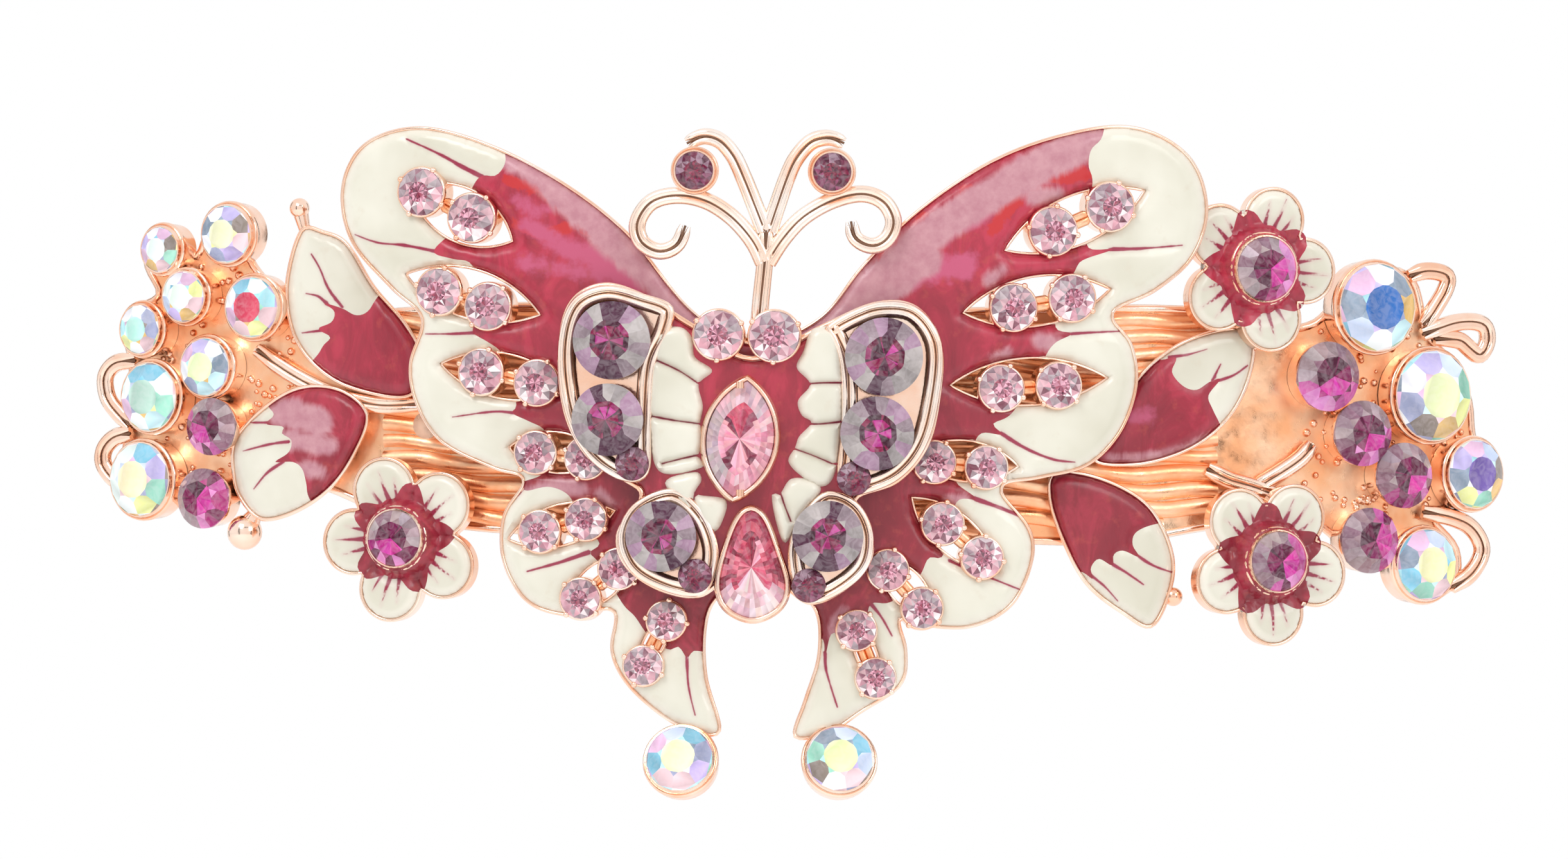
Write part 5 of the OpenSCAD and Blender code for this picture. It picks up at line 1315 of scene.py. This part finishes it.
class BARRETTE_OT_flowers(bpy.types.Operator):
    """Three five-petalled enamel flowers, each with a crimson middle and an amethyst in a cup"""
    bl_idname = "barrette.flowers"
    bl_label = "Flowers"

    def execute(self, context):
        rng = random.Random(settings().stone_seed + 3)
        line_r = FLOWER_BACK + 1.7
        cream, crimson, rings, gems = [], [], [], []
        for name, (x, z, q, start) in FLOWERS.items():
            petals, fields, middles, lines = [], [], [], []
            for i in range(5):
                a = math.radians(start + 72 * i)
                out = np.array([math.cos(a), math.sin(a)])
                side = np.array([-out[1], out[0]])
                petals.append((a, out, side))
            reach = 3.8
            size = 2.42
            n = 240
            t = np.arange(n) * 2 * math.pi / n
            profile = []
            for k in t:
                # Radius of the flower's edge in this direction: the furthest of the five round petals
                best = q * 1.3
                for a, out, side in petals:
                    d = np.array([math.cos(k), math.sin(k)])
                    along_d, off = d @ out * reach, d @ side * reach
                    if along_d > 0 and size * size > off * off:
                        best = max(best, along_d + math.sqrt(size * size - off * off))
                profile.append(best)
            flat = np.stack([np.array(profile) * np.cos(t), np.array(profile) * np.sin(t)], 1)
            flat = even(flat, 0.25, True)
            place = arch_matrix(x, z, FLOWER_FACE, 0, 0, 1, line_r)
            plate = self.sheet(name + " plate", flat, [], 0.6, lambda V: (np.zeros(len(V)), {}), 0.9, place)
            rim = wires(name + " rim", [([place @ Vector((*p, 0.1)) for p in shifted(flat, 0.08)], 0.13, True)])
            finished(joined(name + "_plate", [plate, rim]), finish_of("gold"), name)
            field = even(shifted(flat, 0.16), 0.25, True)
            k = np.arange(90) * 2 * math.pi / 90
            wave = 0.5 - 0.5 * np.cos(5 * (k - math.radians(start)))
            reach_of = q + 0.8 + 1.25 * wave ** 2 + 0.07 * np.cos(15 * (k - math.radians(start)))
            core = np.stack([reach_of * np.cos(k), reach_of * np.sin(k)], 1)
            cut_lines = [np.array([0.9 * q * (out * math.cos(math.pi / 5) + side * math.sin(math.pi / 5)),
                (reach + size) * (out * math.cos(math.pi / 5) + side * math.sin(math.pi / 5))]) for a, out, side in petals]

            def shape(V):
                rim_d = distance(V, field, True)
                seam = np.min([distance(V, l) for l in cut_lines], axis=0)
                d = np.minimum(rim_d, seam)
                vein = np.full(len(V), 9.0)
                for a, out, side in petals:
                    for turn, run in ((-0.27, 1.9), (-0.05, 2.7), (0.19, 2.2)):
                        e = out * math.cos(turn) + side * math.sin(turn)
                        vein = np.minimum(vein, distance(V, [e * q * 1.05, e * (q * 1.15 + run)], False, 0.24, 0.01))
                out_r = np.linalg.norm(V, axis=1)
                h = np.maximum(domed(d, 0.5, 0.7) - 0.25 * np.exp(-((out_r - q * 1.35) / 0.6) ** 2), 0.02)
                rise = np.clip((q + 0.75 - out_r) / 0.6, 0, 1)
                h = np.maximum(h, 1.45 * rise * rise * (3 - 2 * rise))
                far = np.full(len(V), 9.0)
                return h, {"rim": d, "vein": vein, "mauve": far, "rose": far, "scarlet": far}

            cream.append(self.sheet(name + " cream", field, [core], 0.24, shape, 0.2, place))
            crimson.append(self.sheet(name + " crimson", core, [], 0.3, shape, 0.2, place))
            m = arch_matrix(x, z, FLOWER_FACE + 1.6, 0, 0, 1, line_r)
            rings.append((q - 0.12, m))
            gems.append(arch_matrix(x, z, FLOWER_FACE + 1.6, rng.uniform(0, 45), 0, q - 0.08, line_r))
        finished(joined("flower_cream_petals", cream), finish_of("cream"), "flower_cream_enamel")
        finished(joined("flower_crimson_middles", crimson), finish_of("crimson"), "flower_crimson_enamel")
        set_cups("flower_rings", ridged_cup, 1.6, rings, "flower_cups")
        stone = round_stone("flower stone", 0.55, stars=False, shards=False, girdle=40)
        fan_table(stone)
        set_stones("flower_gems", stone, gems, [bold(rng, 0.55) for _ in gems], "flower_amethysts")
        drop(stone)
        return {"FINISHED"}

    def sheet(self, name, outline, holes, step, shape, depth, place):
        """A closed sheet in the flower's own flat frame, then stood on the arch."""
        V, F = triangles([outline] + holes, [], step)
        h, marks = shape(V)
        n = len(V)
        once = {}
        for f in F:
            for a, b in ((f[0], f[1]), (f[1], f[2]), (f[2], f[0])):
                if once.pop((b, a), None) is None:
                    once[(a, b)] = True
        faces = [tuple(map(int, f)) for f in F] + [tuple(int(i) + n for i in f[::-1]) for f in F]
        faces += [(int(a), int(a) + n, int(b) + n, int(b)) for a, b in once]
        me = bpy.data.meshes.new(name)
        me.from_pydata([(x, z, k) for (x, z), k in zip(V, h)] + [(x, z, -depth) for x, z in V], [], faces)
        me.transform(place)
        me.update()
        for key, values in marks.items():
            me.attributes.new(key, "FLOAT", "POINT").data.foreach_set("value", np.concatenate([values, values]).astype(np.float32))
        o = bpy.data.objects.new(name, me)
        bpy.context.collection.objects.link(o)
        edit(o)
        bpy.ops.mesh.normals_make_consistent(inside=False)
        done()
        soft_edges(o, 50)
        return o


class BARRETTE_OT_clusters(bpy.types.Operator):
    """The end clusters and the tail stones: cast cups, iridescent stones and amethysts"""
    bl_idname = "barrette.clusters"
    bl_label = "Clusters and tail stones"

    def execute(self, context):
        rng = random.Random(settings().stone_seed + 4)
        big = round_stone("iridescent stone", 0.5, stars=True, shards=False, top=0.36)
        small = round_stone("cluster stone", 0.55, stars=False, shards=False, girdle=40)
        fan_table(small)
        girdle = BASE_FACE + 2
        for side, crystals, amethysts in (("left", LEFT_CRYSTALS, LEFT_AMETHYSTS), ("right", RIGHT_CRYSTALS, RIGHT_AMETHYSTS)):
            everything = [c[:3] for c in crystals] + amethysts
            set_cups(f"{side}_cluster_rings", ridged_cup, 2.0,
                [(r - (0.1 if k < len(crystals) else 0.28), arch_matrix(x, z, girdle)) for k, (x, z, r) in enumerate(everything)], f"{side}_cluster_cups")
            set_stones(f"{side}_crystal_gems", big, [arch_matrix(x, z, girdle, rng.uniform(0, 45), 0, r - 0.05)
                for x, z, r, c in crystals], [sparkle("aurora", rng, 0.5, GLEAMS[c[3]]) for c in crystals],
                f"{side}_cluster_crystals")
            set_stones(f"{side}_cluster_gems", small, [arch_matrix(x, z, girdle + 0.1, rng.uniform(0, 45), 0, r + 0.12)
                for x, z, r in amethysts], [bold(rng, 0.55) for _ in amethysts],
                f"{side}_cluster_amethysts")
        spots = [(x, z, spin) for x, z, spin in TAIL_CUPS]
        set_cups("tail_rings", ridged_cup, 1.6, [(2.45, self.tail(*s, 1)) for s in spots], "tail_cups")
        set_stones("tail_gems", big, [self.tail(*s, 2.5) for s in spots], [sparkle("aurora", rng, 0.5, GLEAMS["lemon"]) for _ in spots],
            "tail_crystals")
        drop(big, small)
        return {"FINISHED"}

    def tail(self, x, z, spin, scale):
        """Where a tail stone's girdle stands: leant outwards, at the foot of its wing."""
        return arch_matrix(x, z, WING_BACK + 0.6, spin, -18, scale) @ Matrix.Translation((0, 0, 1.95 / scale))


class BARRETTE_OT_base(bpy.types.Operator):
    """The grooved base, its cluster plates and the twigs and beads between them"""
    bl_idname = "barrette.base"
    bl_label = "Base and twigs"

    def execute(self, context):
        rng = random.Random(5)
        outline = even(shifted(even(ring(BASE, 4), 0.6, True), 0.05), 0.6, True)
        V, F = triangles([outline], step=1.6)
        plate = slab("base plate", V, F, BASE_FACE, BASE_BACK)
        seats = []
        for x, z, *_ in FLOWERS.values():
            V, F = triangles([circle(2.4, (x, z))], step=1.2)
            seats.append(slab("seat", V, F, BASE_FACE, BASE_BACK))
        trim = wires("base_trim", [(along(outline, BASE_FACE - 0.1, True, 0.6), 0.32, True)], 2)
        ribs = []
        gap = settings().rib_gap
        for i in range(int(-14 / gap), int(9 / gap)):
            z = i * gap
            xs = np.arange(-31, 30.5, 0.5)
            P = np.stack([xs, z + 0.6 * np.sin(xs * 0.16 + 0.6) + 0.12 * np.sin(xs * 0.9 + i)], 1)
            ok = inside(P, shifted(outline, 0.5))
            run = []
            for p, good in list(zip(P, ok)) + [(None, False)]:
                if good:
                    run.append(p)
                elif len(run) > 3:
                    ribs.append((along(run, BASE_FACE - 0.3, gap=0.5), gap * rng.uniform(0.48, 0.6), False))
                    run = []
                else:
                    run = []
        rods = wires("ribs", ribs, 2)
        finished(joined("base_plate_and_ribs", [plate, rods] + seats), finish_of("deep"), "base_frame")
        finished(trim, finish_of("gold"))
        bpy.ops.mesh.primitive_uv_sphere_add(segments=10, ring_count=7, radius=0.3)
        grain = bpy.context.object
        soft_edges(grain, 60)
        spots = []
        for k in range(1400):
            side = rng.choice((-1, 1))
            x, z = side * rng.uniform(36.5, 51.5), rng.uniform(-14, 13.6)
            if inside(np.array([[x, z]]), shifted(outline, 0.6))[0]:
                spots.append(arch_matrix(x, z, BASE_FACE + 0.02, 0, 0, rng.uniform(0.5, 1.1)))
        grains = copies("granulation", grain, spots[:380])
        drop(grain)
        finished(grains, finish_of("cast"))
        for name, lines in TWIGS.items():
            made, dark = [], []
            for line in lines:
                L = even(smooth(line, 6), 0.25)
                for d in (-0.3, 0.3):
                    pts = along(shifted(L, d, False), BASE_FACE + 0.55, gap=0.3)
                    made.append((pts, np.interp(np.linspace(0, 1, len(pts)), [0, 0.12, 0.88, 1], [0.2, 0.36, 0.36, 0.2]), False))
                # A dark wire of painted shade in the groove between the two strands.
                dark.append((along(L, BASE_FACE + 0.7, gap=0.3), 0.11, False))
                made.append((along(L, BASE_FACE + 0.2, gap=0.3), 0.42, False))
            finished(wires(name + "_strands", made), finish_of("gold"), name)
            finished(wires(name + "_grooves", dark, 2), finish_of("painted_shade"))
        return {"FINISHED"}


class BARRETTE_OT_clip(bpy.types.Operator):
    """The catch spring's two leaves, and the finishes of the posts and of the steel clip"""
    bl_idname = "barrette.clip"
    bl_label = "Clip and posts"

    def execute(self, context):
        lo, hi = (np.array(v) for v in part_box("catch_spring"))
        for side, joint in ((1, "ear_upper_pinch"), (-1, "ear_lower_pinch")):
            parts = []
            for size, y, z in (((hi[0] - lo[0], 0.15 * MM, hi[2]), lo[1] + 0.075 * MM, hi[2] / 2),
                    ((hi[0] - lo[0], hi[1] - lo[1], 0.12 * MM), (lo[1] + hi[1]) / 2, hi[2] - 0.06 * MM)):
                bpy.ops.mesh.primitive_cube_add(size=1, location=((lo[0] + hi[0]) / 2, y, side * z), scale=size)
                parts.append(context.object)
            pick(*parts)
            bpy.ops.object.transform_apply(location=True, rotation=True, scale=True)
            leaf = finished(joined(f"catch_spring_leaf_{'upper' if side > 0 else 'lower'}", parts),
                finish_of("spring"), "catch_spring")
            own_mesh(leaf)
        for nodes, key in ((("wing_posts", "butterfly_posts"), "cast"),
                (("clip_bar", "latch_arm", "catch_bracket", "bar_rivets", "hinge_pin"), "steel"),
                (("bow_spring", "catch_ear_upper", "catch_ear_lower"), "spring")):
            for n in nodes:
                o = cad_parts[n]
                o.data.materials.clear()
                o.data.materials.append(finish_of(key))
                m = o.modifiers.new("Edges", "BEVEL")
                m.width = 0.00008
                m.segments = 2
                m.limit_method = "ANGLE"
                m.angle_limit = math.radians(40)
                m.harden_normals = False
        return {"FINISHED"}


OPERATORS = (BARRETTE_OT_base, BARRETTE_OT_clip, BARRETTE_OT_wing_casting, BARRETTE_OT_wing_enamel, BARRETTE_OT_small_stones,
    BARRETTE_OT_small_butterfly, BARRETTE_OT_amethysts, BARRETTE_OT_antennae, BARRETTE_OT_leaves, BARRETTE_OT_flowers,
    BARRETTE_OT_clusters, BARRETTE_OT_stage)


class BARRETTE_PT_panel(bpy.types.Panel):
    """Buttons in the order in which the barrette is made"""
    bl_idname = "BARRETTE_PT_panel"
    bl_label = "Butterfly Barrette"
    bl_space_type = "VIEW_3D"
    bl_region_type = "UI"
    bl_category = "Barrette"

    def draw(self, context):
        column = self.layout.column(align=True)
        for key in BarretteSettings.__annotations__:
            column.prop(context.scene.barrette, key)
        column.separator()
        for op in OPERATORS:
            column.operator(op.bl_idname)


def register():
    for c in (BarretteSettings, *OPERATORS, BARRETTE_PT_panel):
        bpy.utils.register_class(c)
    bpy.types.Scene.barrette = bpy.props.PointerProperty(type=BarretteSettings)


def unregister():
    del bpy.types.Scene.barrette
    for c in reversed((BarretteSettings, *OPERATORS, BARRETTE_PT_panel)):
        bpy.utils.unregister_class(c)


def main():
    register()
    for op in OPERATORS:
        group, name = op.bl_idname.split(".")
        getattr(getattr(bpy.ops, group), name)()


if __name__ == "__main__":
    main()
